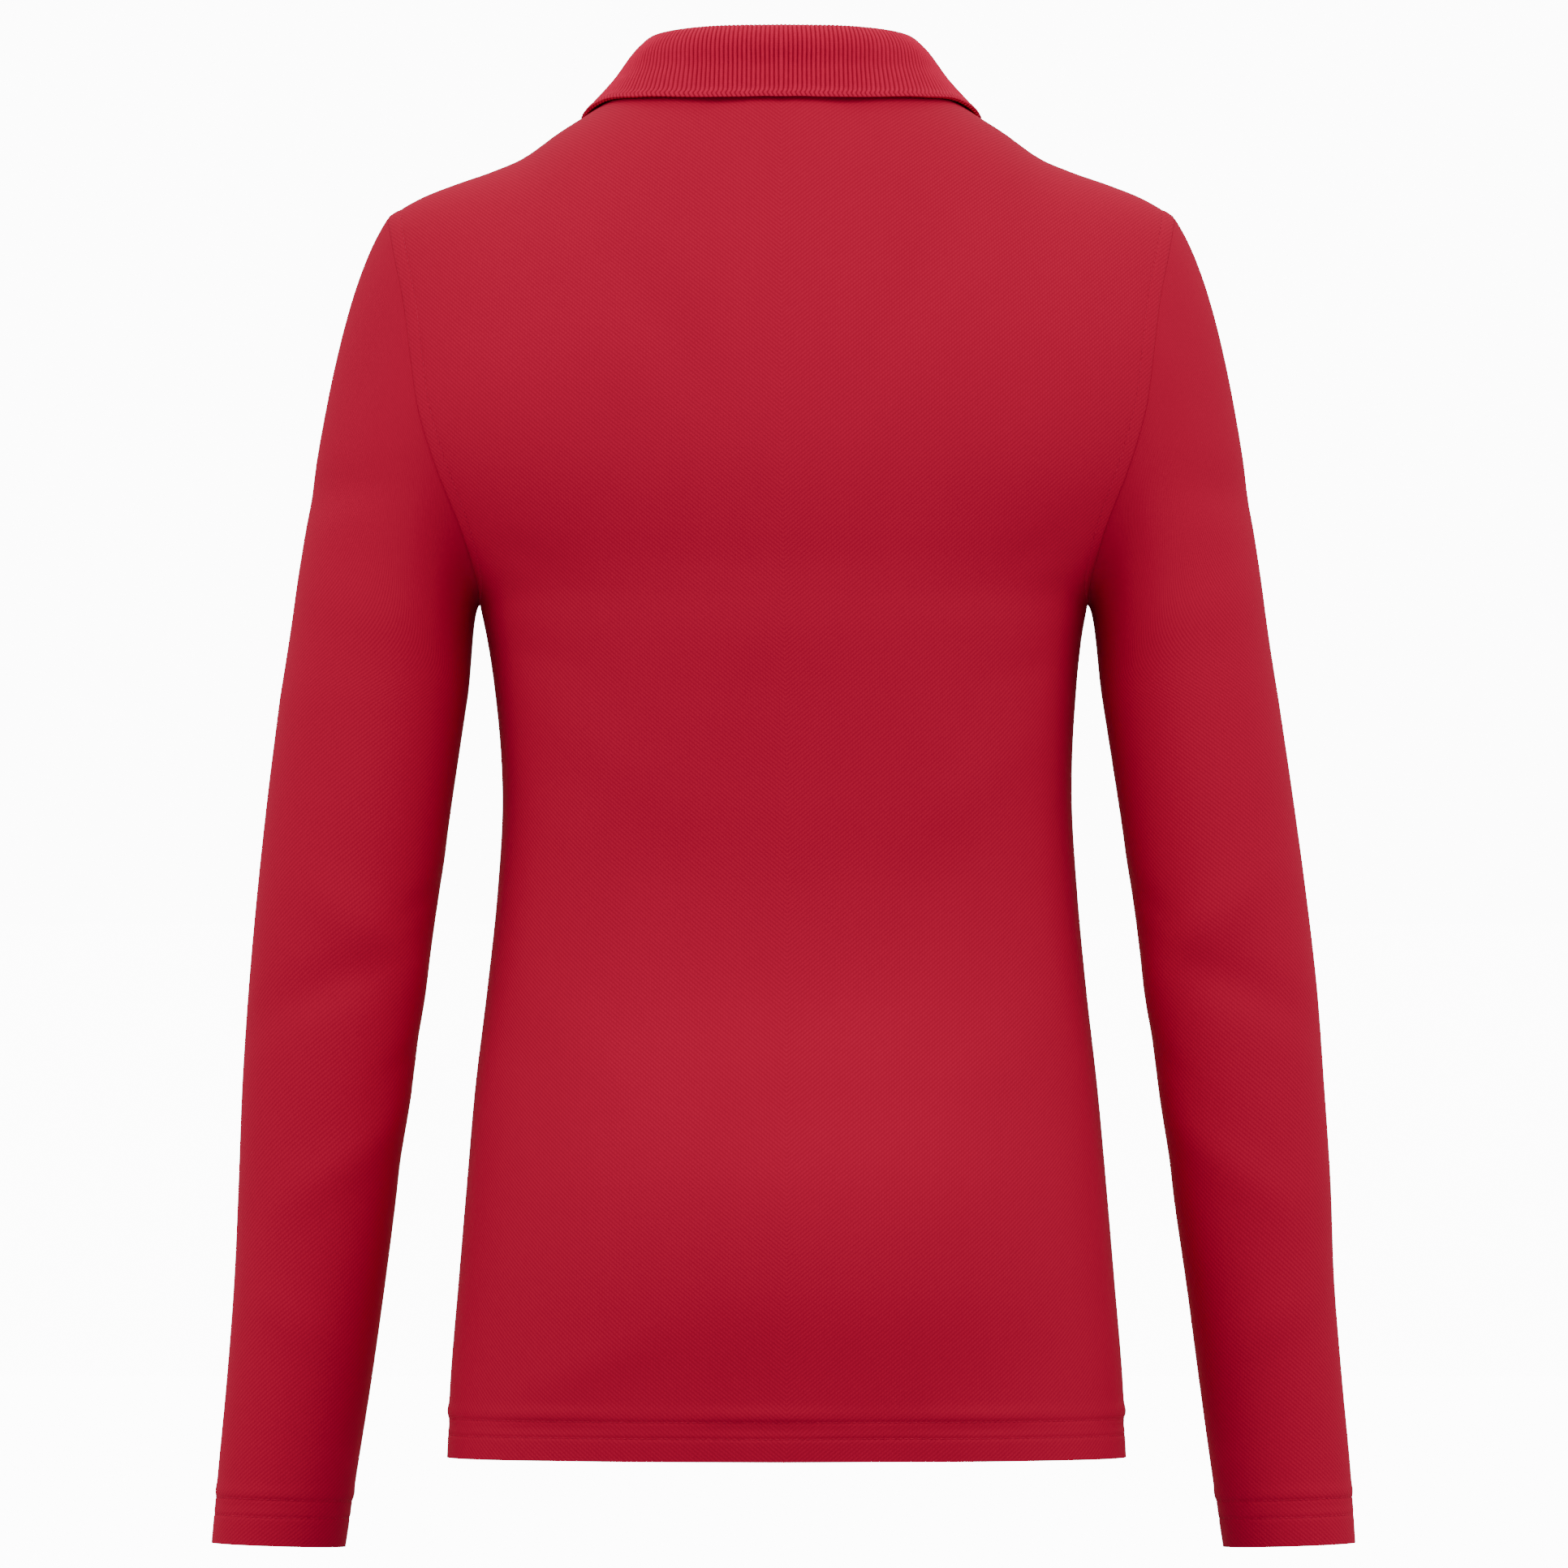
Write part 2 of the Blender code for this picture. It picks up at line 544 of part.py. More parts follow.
def tube_ring(which, height):
    """A section of the sleeve below its cap, starting on the outer side and going over the back."""
    turn = 2 * math.pi * np.arange(SLEEVE_COLUMNS) / SLEEVE_COLUMNS
    across, deep = np.cos(turn), np.sin(turn)
    power = 2.0 / SLEEVE_ROUNDNESS
    outer = read(SLEEVE, which + "_outer", height)
    inner = read(SLEEVE, which + "_inner", height)
    out = (outer + inner) / 2 + (outer - inner) / 2 * np.sign(across) * np.abs(across)**power
    behind = (read(SLEEVE, "behind", height)
              + read(SLEEVE, "half_depth", height) * np.sign(deep) * np.abs(deep)**power)
    up = height + CUFF_TILT * (out - (outer + inner) / 2)
    return np.stack([out, behind, up], axis=1)


def cap_rings(which, mirror):
    """Sections from the armhole to the top of the tube, and the armhole's wall direction."""
    seam, normal = armhole_loop(mirror)
    around = unit(np.roll(seam, -1, axis=0) - np.roll(seam, 1, axis=0))
    away = unit(np.cross(around, normal))
    if away[0, 0] < 0:
        away = -away
    target = tube_ring(which, SLEEVE_TOP)
    middle = target.mean(axis=0)
    faces_out = unit((target - middle) * (1.0, 1.0, 0.0))
    turned = (1.0 - np.sum(normal * faces_out, axis=1, keepdims=True)) / 2.0
    wall_way = unit(normal + faces_out - 2.0 * turned * away)
    start = seam + SEAM_GAP * away - CAP_STEP * normal
    down = np.array([0.0, 0.0, -1.0])
    over = unit(CAP_LEAVE[0] * away + CAP_LEAVE[1] * normal + CAP_LEAVE[2] * down)
    under = unit(normal + UNDERARM_LEAN * away)
    weight = turned**UNDERARM_REACH
    span = np.linalg.norm(target - start, axis=1, keepdims=True)
    leave = span * ((1 - weight) * CAP_LEAVE_PULL * over + weight * UNDERARM_PULL * under)
    arrive = span * CAP_ARRIVE_PULL * np.array(CAP_ARRIVE)
    rings = []
    for t in np.linspace(0.0, 1.0, CAP_ROWS + 1)[:-1]**CAP_CLOSER:
        rings.append((2 * t**3 - 3 * t**2 + 1) * start + (t**3 - 2 * t**2 + t) * leave
                     + (3 * t**2 - 2 * t**3) * target + (t**3 - t**2) * arrive)
    return rings, wall_way


def make_sleeve(which, mirror, collection):
    rings, wall_way = cap_rings(which, mirror)
    heights = np.linspace(SLEEVE_TOP, SLEEVE_END, TUBE_ROWS + 1)
    hem_start = SLEEVE_END + CUFF_HEM_DEPTH
    heights[-2] = hem_start
    rings = rings + [tube_ring(which, height) for height in heights]
    grid = np.array(rings)
    normals = grid_normals(grid, ring=True)
    if normals[CAP_ROWS, 0, 0] < 0:
        normals = -normals
    normals[0] = wall_way
    turn = 360.0 * np.arange(SLEEVE_COLUMNS) / SLEEVE_COLUMNS
    lift = fold_height(SLEEVE_FOLDS, turn, grid[..., 2] / CM, DEGREES_FOR_1_CM)
    rows = np.arange(len(grid))[:, None]
    fade = np.clip((rows - 1) / 3.0, 0.0, 1.0) * np.clip((len(grid) - 2 - rows) / 2.0, 0.0, 1.0)
    outer = grid + (lift * fade)[..., None] * normals
    cloth = np.where(grid[..., 2] < hem_start + 0.2 * CM, HEM_CLOTH, CLOTH)
    cloth[0] = CLOTH - CAP_STEP
    inner = outer - cloth[..., None] * normals
    points, faces = wall(outer, inner, ring=True)
    points = points * (mirror, 1.0, 1.0)
    if mirror > 0:
        faces = [face[::-1] for face in faces]
    return make_object("sleeve_" + which, points, faces, RED_PIQUE, 0.8, collection)


# ---- the collar -----------------------------------------------------------------------------

def neck_edge():
    """Half the neckline as the panels' cut edge runs, from centre back to centre front, with
    the panels' normals along it. x is measured away from the middle of the body."""
    lines, normals = [], []
    for side in ("back", "front"):
        out, height = panel_half_grid(side)
        out = np.append(out[-1, -NECK_COLUMNS:], COLLAR_END)
        height = np.append(height[-1, -NECK_COLUMNS:], height[-1, -1])
        line = torso_point(out, height, side)
        line[:, 0] = out
        normal = torso_normal(out, np.maximum(torso_depth(out, height, side), SEAM_GAP),
                              height, side)
        lines.append(line)
        normals.append(normal)
    line = np.concatenate([lines[0][::-1], lines[1]])
    normal = np.concatenate([normals[0][::-1], normals[1]])
    return even(np.concatenate([line, normal], axis=1), 400)


def collar_sections(columns):
    """Points of the collar's two skins at evenly spread stations round the neck.

    The first skin runs up the neck side of the stand, over the fold and down the outside of
    the fall. The second runs the same way along the hidden side.
    """
    share = np.abs(np.linspace(-1.0, 1.0, columns + 1))
    side = np.where(np.linspace(-1.0, 1.0, columns + 1) < 0, 1.0, -1.0)
    edge_line = neck_edge()
    at = np.linspace(0.0, 1.0, len(edge_line))
    seam, way = [np.stack([np.interp(share, at, edge_line[:, k + first]) for k in range(3)], axis=1)
                 for first in (0, 3)]
    way = unit(way)
    around = unit(np.stack([np.interp(share, at, np.gradient(edge_line[:, k])) for k in range(3)],
                           axis=1))
    into_neck = unit(np.cross(way, around))
    into_neck *= np.sign(into_neck[:, 2:3])
    seam = seam + COLLAR_FOOT * into_neck

    fold = np.stack([read(COLLAR, "fold_" + k, share) for k in ("out", "behind", "up")], axis=1)
    edge = np.stack([read(COLLAR, "edge_" + k, share) for k in ("out", "behind", "up")], axis=1)
    outward = unit((edge - fold) * (1.0, 1.0, 0.0))
    upward = np.array([0.0, 0.0, 1.0])

    stand = unit(fold - seam)
    stand_out = unit(np.cross(around, stand))
    stand_out *= np.sign(np.sum(stand_out * outward, axis=1, keepdims=True))
    fall = unit(edge - fold)
    fall_out = unit(np.cross(around, fall))
    fall_out *= np.sign(np.sum(fall_out * (outward + upward), axis=1, keepdims=True))

    # Near centre front the stand's top leans straight back, so that the two ends stay apart.
    aside = 1 - np.clip((share - 0.86) / 0.10, 0.0, 1.0)
    backward = unit(outward * np.stack([aside, 1 + 0 * aside, 1 + 0 * aside], axis=1))
    top_in = fold + FOLD_INNER[0] * backward + FOLD_INNER[1] * upward
    top_out = fold + FOLD_OUTER[0] * outward + FOLD_OUTER[1] * upward
    under = fold + FOLD_UNDER[0] * outward + FOLD_UNDER[1] * upward
    bow = read(FALL, "bow", share)[:, None]
    first = [seam - RIB_CLOTH * stand_out,
             (seam + top_in - RIB_CLOTH * stand_out) / 2,
             top_in,
             fold,
             top_out,
             fold + FALL_MIDDLE * (edge - fold) + bow * fall_out,
             edge]
    second = [seam,
              (seam + top_in + RIB_CLOTH * stand_out) / 2,
              top_in + RIB_CLOTH * stand_out,
              under,
              top_out - RIB_CLOTH * unit(fall_out + outward),
              first[5] - RIB_CLOTH * fall_out,
              edge - RIB_CLOTH * fall_out]
    for k in (4, 5, 6):
        first[k], second[k] = clear_of_body(first[k], second[k])
    first, second = np.array(first), np.array(second)
    for skin in (first, second):
        skin[..., 0] *= side
        skin[..., 0] += read(TORSO, "centre", skin[..., 2])
    return first, second


def clear_of_body(outer, inner):
    """Moves a row of the fall out where its inner face would come too near the panels."""
    move = np.zeros((len(inner), 3))
    for side, here in (("back", inner[:, 1] > 0), ("front", inner[:, 1] <= 0)):
        if not here.any():
            continue
        out, behind, height = inner[here, 0], np.abs(inner[here, 1]), inner[here, 2]
        slope = torso_slope(out, behind, height, side)
        steep = np.linalg.norm(slope, axis=1)
        distance = torso_level(out, behind, height, side) / steep
        clear = FALL_CLEAR + 0.0 * out
        if side == "front":
            beside_placket = np.clip((PLACKET_WIDTH - out) / CM, 0.0, 1.0)
            clear = clear + (FALL_CLEAR_PLACKET - FALL_CLEAR) * beside_placket
        push = np.maximum(0.0, clear - distance)
        move[here] = push[:, None] * slope / steep[:, None] * facing(side)
    return outer + move, inner + move


def bridge(one, two):
    """Faces between two rows of point numbers, fanned where one row is finer."""
    if len(one) == len(two):
        return [(one[i], one[i + 1], two[i + 1], two[i]) for i in range(len(one) - 1)]
    flip = len(one) > len(two)
    coarse, fine = (two, one) if flip else (one, two)
    step = (len(fine) - 1) // (len(coarse) - 1)
    faces = []
    for j in range(len(coarse) - 1):
        first = j * step
        middle = first + step // 2
        for i in range(first, first + step):
            corner = coarse[j] if i < middle else coarse[j + 1]
            faces.append((corner, fine[i + 1], fine[i]))
        faces.append((coarse[j], coarse[j + 1], fine[middle]))
    if flip:
        faces = [face[::-1] for face in faces]
    return faces


def make_collar(collection):
    coarse_first, coarse_second = collar_sections(COARSE_COLUMNS)
    fine_first, _ = collar_sections(2 * RIBS)
    rib = RIB_HEIGHT * (np.arange(2 * RIBS + 1) % 2)
    normals = grid_normals(fine_first[3:7], ring=False)
    outwards = fine_first[5] - fine_first[5].mean(axis=0)
    if np.sum(normals[2] * outwards) < 0:
        normals = -normals
    ribbed = fine_first[3:7] + rib[None, :, None] * normals
    rows = list(coarse_first[:3]) + list(ribbed) + list(coarse_second[::-1])
    numbers, points = [], []
    for row in rows:
        numbers.append(list(range(len(points), len(points) + len(row))))
        points.extend(row)
    faces = []
    for one, two in zip(numbers, numbers[1:] + numbers[:1]):
        faces.extend(bridge(one, two))
    count = len(rows)
    for k in range(6):
        a, b = numbers[k], numbers[k + 1]
        c, d = numbers[count - 2 - k], numbers[count - 1 - k]
        faces.append((a[0], b[0], c[0], d[0]))
        faces.append((d[-1], c[-1], b[-1], a[-1]))
    faces = [face[::-1] for face in faces]
    return make_object("collar", points, faces, RED_RIB, 0.85, collection)


# ---- the placket ----------------------------------------------------------------------------

def slot_heights():
    """Heights of the front panel's rows along the slit, from its lower end to the neckline."""
    _, height = panel_half_grid("front")
    line = height[:, -1]
    return line[line > PLACKET_BOTTOM]


def make_placket(name, half_width, rows, low_lift, collection):
    """A strip on the torso surface down the centre front."""
    out = np.linspace(half_width, -half_width, 5)[None, :] + 0.0 * rows[:, None]
    height = rows[:, None] + 0.0 * out
    outer = torso_point(out, height, "front", np.full(out.shape, low_lift + PLACKET_CLOTH))
    inner = torso_point(out, height, "front", np.full(out.shape, low_lift))
    points, faces = wall(outer, inner)
    return make_object(name, points, [face[::-1] for face in faces], RED_PIQUE, 0.8, collection)


def make_plackets(collection):
    rows = slot_heights()
    under = rows.copy()
    under[0] += PLACKET_INSET
    under[-1] -= PLACKET_INSET
    make_placket("placket_under", PLACKET_WIDTH / 2 - PLACKET_INSET, under,
                 PLACKET_LIFT - SEAM_GAP - PLACKET_CLOTH, collection)
    upper = np.concatenate([[rows[0] - PLACKET_FOOT], rows])
    upper[-1] -= PLACKET_TOP
    make_placket("placket_upper", PLACKET_WIDTH / 2 + PLACKET_OVERLAP, upper, PLACKET_LIFT,
                 collection)


def make_button(number, height, collection):
    """A turned button with a raised rim, lying on the upper placket strip."""
    points = [(BUTTON_RADIUS * r, 0.0, BUTTON_THICKNESS * z) for r, z in BUTTON_PROFILE]
    mesh = bpy.data.meshes.new("button_profile")
    mesh.from_pydata(points, [(i, i + 1) for i in range(len(points) - 1)], [])
    piece = bpy.data.objects.new("button_%d" % number, mesh)
    collection.objects.link(piece)
    screw = piece.modifiers.new("turn", "SCREW")
    screw.steps = screw.render_steps = BUTTON_STEPS
    screw.use_merge_vertices = True
    screw.merge_threshold = 0.05 * MM
    screw.use_smooth_shade = True
    mesh.materials.append(make_material(piece.name, RED_BUTTON, 0.45))
    middle, at = np.array([0.0]), np.array([height])
    lift = np.array([PLACKET_LIFT + PLACKET_CLOTH + SEAM_GAP])
    place = torso_point(middle, at, "front", lift)[0]
    way = torso_normal(middle, torso_depth(middle, at, "front"), at, "front")[0]
    piece.location = place
    piece.rotation_euler = (math.atan2(-way[1], way[2]), 0.0, 0.0)
    return piece


def build():
    for item in list(bpy.data.objects):
        bpy.data.objects.remove(item)
    collection = bpy.data.collections.new("polo_shirt")
    bpy.context.scene.collection.children.link(collection)
    make_panel("back", BACK_FOLDS, collection)
    make_panel("front", FRONT_FOLDS, collection)
    make_sleeve("left", 1.0, collection)
    make_sleeve("right", -1.0, collection)
    make_collar(collection)
    make_plackets(collection)
    for number, height in enumerate(BUTTON_HEIGHTS, start=1):
        make_button(number, height, collection)


build()
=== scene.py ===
"""Looks of the long-sleeve polo shirt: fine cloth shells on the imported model's forms.

Metres, +Z up; the front faces -Y and the wearer's left is +X. The camera looks at the back.
The tables below are the shirt's own, in centimetres, as in its construction. Each cloth piece
is a thin shell on the same surface as its solid, with the finer folds, hems, seams and ribs.
"""
import math

import bmesh
import bpy
import numpy as np
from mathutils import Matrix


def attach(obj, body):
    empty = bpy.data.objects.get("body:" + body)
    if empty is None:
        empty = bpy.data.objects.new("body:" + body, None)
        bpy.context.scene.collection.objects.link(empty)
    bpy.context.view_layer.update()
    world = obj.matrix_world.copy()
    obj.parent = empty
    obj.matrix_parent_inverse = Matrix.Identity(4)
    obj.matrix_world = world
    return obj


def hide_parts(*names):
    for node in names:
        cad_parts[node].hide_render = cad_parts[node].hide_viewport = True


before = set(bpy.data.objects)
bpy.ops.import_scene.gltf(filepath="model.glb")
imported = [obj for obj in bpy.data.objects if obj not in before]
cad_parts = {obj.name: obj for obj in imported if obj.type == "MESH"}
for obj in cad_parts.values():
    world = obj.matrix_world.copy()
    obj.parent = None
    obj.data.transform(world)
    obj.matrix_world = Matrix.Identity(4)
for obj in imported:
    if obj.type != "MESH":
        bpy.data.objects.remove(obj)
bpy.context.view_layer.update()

CM = 0.01
MM = 0.001


def chart(columns, *rows):
    """Named columns of a short table that is written in centimetres."""
    names = columns.split()
    return {name: CM * np.array([row[i] for row in rows]) for i, name in enumerate(names)}


# ---- the shirt's sizes ----------------------------------------------------------------------

# Torso sections, from the hem up. The half widths are what the outline shows; above the underarm
# they run on past the armholes. The back and front are the depths from the shoulder line.
TORSO = chart(
    "height  wide_back  wide_front  centre  back   front",
    (-64.05, 16.10,     16.10,      -0.12,   9.8,  11.8),
    (-60.4,  15.94,     15.94,      -0.12,  10.6,  11.8),
    (-55.8,  15.56,     15.56,      -0.12,  11.6,  11.6),
    (-51.2,  15.17,     15.17,      -0.12,  11.6,  11.4),
    (-46.5,  14.75,     14.75,      -0.11,  10.3,  11.1),
    (-41.9,  14.21,     14.21,      -0.13,   8.8,  10.9),
    (-37.3,  13.75,     13.75,      -0.16,   8.4,  10.9),
    (-32.7,  13.50,     13.50,      -0.15,   8.9,  11.4),
    (-28.1,  13.75,     13.75,      -0.08,   9.6,  12.5),
    (-24.6,  14.22,     14.22,       0.00,  10.1,  13.3),
    (-23.0,  14.66,     14.56,       0.02,  10.2,  13.6),
    (-21.7,  15.75,     15.20,       0.03,  10.3,  13.7),
    (-19.9,  17.40,     16.25,       0.05,  10.6,  13.7),
    (-17.6,  19.30,     17.40,       0.07,  10.9,  13.4),
    (-15.0,  20.50,     18.30,       0.09,  11.0,  12.8),
    (-12.0,  20.90,     19.20,       0.10,  10.9,  11.8),
    (-8.8,   20.80,     19.80,       0.12,  10.6,  10.3),
    (-5.3,   20.60,     20.10,       0.13,  10.3,   9.1),
    (0.0,    20.40,     20.30,       0.13,  10.2,   8.2),
    (4.5,    20.40,     20.40,       0.13,  10.2,   8.0))
ROUNDNESS = 2.2             # exponent of the torso's sections: 2 is an ellipse, more is squarer
SLOPE_STEP = 0.2 * MM       # over which the surface's slope is measured
SHOULDER_ROUND_FROM = -17.5 * CM    # above this height the torso rounds over to the shoulder line

# The shoulder line, from the neck out to the tip.
SHOULDER = chart(
    "out     height",
    (7.00,   1.00),
    (9.00,  -0.33),
    (10.30, -1.15),
    (12.00, -2.35),
    (13.75, -3.12),
    (15.50, -3.73),
    (17.20, -4.42),
    (18.66, -5.30),
    (20.50, -6.80))
NECK_OUT = 7.0 * CM
NECK_BACK = 6.0 * CM
NECK_BACK_HEIGHT = 1.0 * CM
NECK_FRONT_HEIGHT = -5.6 * CM
NECK_FRONT_SHAPE = 1.15     # more makes the front neckline drop later and steeper
TIP_OUT = 18.66 * CM
TIP_HEIGHT = -5.3 * CM

# The armhole seams, from the underarm up to the shoulder tip.
UNDERARM_HEIGHT = -23.7 * CM
ARMHOLE = chart(
    "height  back   front",
    (-23.7,  14.42, 14.42),
    (-22.8,  14.47, 14.42),
    (-21.5,  14.80, 14.62),
    (-20.1,  15.22, 14.92),
    (-17.6,  16.20, 15.48),
    (-16.0,  16.75, 15.85),
    (-14.3,  17.20, 16.20),
    (-12.6,  17.45, 16.50),
    (-11.2,  17.62, 16.80),
    (-9.0,   17.93, 17.35),
    (-7.4,   18.27, 17.98),
    (-5.3,   18.66, 18.66))

# Sleeve sections below the cap: the outline's outer and inner sides, how far the middle lies
# behind the shoulder line, and half the depth.
SLEEVE = chart(
    "height  left_outer  left_inner  right_outer  right_inner  behind  half_depth",
    (-68.3,  27.22,      20.83,      27.17,       20.86,       -3.6,   3.50),
    (-65.0,  26.91,      20.32,      26.94,       20.35,       -3.1,   3.55),
    (-60.4,  26.46,      19.58,      26.50,       19.70,       -2.4,   3.75),
    (-55.8,  26.10,      18.92,      26.12,       19.08,       -1.7,   4.00),
    (-51.2,  25.88,      18.31,      25.94,       18.40,       -1.1,   4.20),
    (-46.5,  25.69,      17.65,      25.62,       17.77,       -0.6,   4.40),
    (-41.9,  25.38,      17.00,      25.27,       17.10,       -0.2,   4.60),
    (-37.3,  24.96,      16.35,      24.73,       16.50,        0.1,   4.85),
    (-32.7,  24.46,      15.69,      24.10,       15.80,        0.2,   5.15),
    (-28.1,  23.88,      15.00,      23.42,       15.08,        0.2,   5.35))
SLEEVE_TOP = -28.1 * CM
SLEEVE_END = -68.3 * CM
SLEEVE_ROUNDNESS = 2.15
CUFF_TILT = 0.03            # rise of a sleeve section for each unit outwards
CAP_LEAVE = (0.63, 0.14, 0.65)      # the cap leaves the seam away from it, out of the body and down
CAP_ARRIVE = (0.17, 0.0, -0.985)    # how the cap joins the tube below
CAP_LEAVE_PULL = 0.66       # length of the cap's tangents as a share of its span
CAP_ARRIVE_PULL = 0.95
UNDERARM_PULL = 0.25        # and of the tangent with which it turns over at the underarm
UNDERARM_LEAN = 0.2         # how far that tangent leans away from the seam
UNDERARM_REACH = 3          # power by which the turned part stays near the underarm
CAP_CLOSER = 1.3            # power by which the cap's rows lie closer together at the seam
CAP_STEP = 0.5 * MM         # the sleeve starts this much lower than the panel's topstitched edge

# The collar, from centre back (share 0) round to centre front (share 100).
COLLAR = chart(
    "share  fold_out  fold_behind  fold_up  edge_out  edge_behind  edge_up",
    (0,     0.00,      6.25,       3.73,    0.00,      6.85,        0.28),
    (15,    3.35,      5.30,       3.68,    3.70,      6.20,        0.27),
    (30,    5.80,      2.60,       3.38,    7.30,      3.30,        0.32),
    (36,    6.24,      1.05,       3.17,    8.30,      1.50,        0.17),
    (42,    6.42,     -0.50,       2.88,    9.12,     -0.35,       -0.28),
    (55,    6.05,     -3.35,       1.38,    9.42,     -3.90,       -2.40),
    (70,    4.60,     -5.75,      -0.90,    9.00,     -7.50,       -5.60),
    (85,    2.55,     -7.30,      -2.90,    7.10,     -9.70,       -8.50),
    (100,   0.12,     -8.00,      -3.95,    5.00,    -10.80,      -10.60))
COLLAR_END = 1.2 * MM       # the strip's two ends stop this far from the centre front
COLLAR_WALL = 1.7 * MM      # between the two skins whose middle the knitted strip follows
COLLAR_FOOT = 0.45 * MM     # the strip's foot stands this far inside the panels' edge
FOLD_INNER = (-2.7 * MM, -2.4 * MM)     # from the fold's top out and up to where the stand ends
FOLD_OUTER = (3.2 * MM, -2.6 * MM)      # and to where the fall starts
FOLD_UNDER = (0.1 * MM, -1.9 * MM)      # and to the hidden side of the fold
UPRIGHT_FROM = 0.86         # from this share of the way round, the stand's top turns
UPRIGHT_OVER = 0.10         # straight back over this share, so that the two ends stay apart
FALL_MIDDLE = 0.60          # where the fall's middle row lies between the fold and the edge
FALL = chart(
    "share  bow",
    (0,     0.15),
    (22,    0.12),
    (40,    0.08),
    (55,    0.09),
    (100,   0.15))
FALL_CLEAR = 1.2 * MM       # the fall's inner face stays this far off the panels
FALL_CLEAR_PLACKET = 3.2 * MM       # and this far beside the placket
RIBS = 224
RIB_PITCH = 2.0 * MM
RIB_WAVE = 0.36 * MM        # the knitted ribs stand this far to either side of the strip
RIB_CLOTH = 1.3 * MM        # thickness of the knit itself
WELT_DEPTH = 3.4 * MM       # the closed edge band of the knitted collar
WELT_BLEND = 0.5 * MM       # over which the ribs go over into it, to either side
WELT_FLATTER = 0.45         # share of their height that the ribs lose in it
WELT_FULLER = 0.30 * MM     # and what each face stands out further there
FOLD_FLATTER = 0.5          # share of their height that the ribs lose on the fold
FOLD_REACH = 3.5 * MM       # and how far from it they do

SEAM_GAP = 0.3 * MM
SEAM_ALLOWANCE = 0.6 * MM   # the turned cloth reaches this far past its neighbour's edge
CLOTH = 0.9 * MM            # the pique's real thickness
HEM_DEPTH = 2.0 * CM
HEM_ROWS = (11.0 * MM, 18.8 * MM)       # the twin needle rows above the hem's edge
CUFF_HEM_DEPTH = 2.2 * CM
CUFF_ROWS = (13.8 * MM, 22.0 * MM)
HEM_CORNER = 3.0 * MM       # the hem's lower corners are rounded off by this much
TOPSTITCH = 7.0 * MM        # the armhole's stitched line lies this far in from the seam

PLACKET_WIDTH = 3.0 * CM
PLACKET_BOTTOM = -20.6 * CM
PLACKET_LIFT = 0.5 * MM     # the upper strip's inner face over the panel
PLACKET_CLOTH = 1.3 * MM
PLACKET_INSET = 0.8 * MM    # the under strip stops this short of the slit all round
PLACKET_OVERLAP = 1.5 * MM  # the upper strip covers the slit's sides by this much
PLACKET_FOOT = 8.0 * MM     # and runs on this far below the slit
PLACKET_TOP = 0.5 * MM      # and stops this short of the neckline
BUTTON_RADIUS = 5.5 * MM
BUTTON_THICKNESS = 2.4 * MM
BUTTON_HEIGHTS = (-7.6 * CM, -12.6 * CM, -17.6 * CM)
# The button's section from the middle of its face over the rim and underneath, as shares of its
# radius and thickness.
BUTTON_PROFILE = ((0.0, 0.52), (0.30, 0.50), (0.56, 0.54), (0.64, 0.70), (0.70, 0.92), (0.77, 1.0),
                  (0.86, 0.98), (0.94, 0.84), (0.99, 0.62), (1.0, 0.46), (0.97, 0.25), (0.88, 0.08),
                  (0.74, 0.0), (0.0, 0.0))
BUTTON_STEPS = 64
HOLE_RADIUS = 0.95 * MM
HOLE_SPREAD = 1.35 * MM     # the four holes lie this far to either side of the middle
CROSS_THREAD = 0.16 * MM    # radius of the threads that cross between the holes
CROSS_SPACING = 0.28 * MM

# Fine relief of the cloth, in millimetres: how far a line stands out of it (plus) or sinks into it
# (minus), and how far it reaches to either side.
RELIEF = {
    "armhole topstitch": (-0.30, 0.9),
    "armhole turn": (-0.50, 0.7),
    "side seam": (-0.45, 1.6),
    "shoulder seam": (-0.30, 1.5),
    "placket edge": (-0.55, 0.7),
    "placket topstitch": (-0.35, 0.8),
    "welt line": (-0.22, 0.5)}
ARMHOLE_BAND = 0.30 * MM    # the double cloth beside the armhole seam stands out this much

# The two turned edges, in millimetres: how deep their stitched rows sink in, the lengths and
# starts of the waves in which the rows pucker and the cloth above them is drawn, and the rise
# above the upper row and the dip below it, each with its distance and reach.
HEM = dict(rows=HEM_ROWS, sink=0.30, puckers=((1.15, 0.0), (0.73, 1.3)), drawn=(17.0, 0.9),
           rise=(0.80, 3.4, 3.2), dip=(-0.60, -3.2, 3.0))
CUFF = dict(rows=CUFF_ROWS, sink=0.28, puckers=((1.10, 0.0), (0.70, 0.8)), drawn=(15.0, 0.5),
            rise=(0.50, 3.2, 3.0), dip=(-0.35, -3.2, 3.0))
ROW_REACH = 0.9 * MM
ROW_PUCKER = 0.10 * MM
FULL_BETWEEN_ROWS = 0.15 * MM

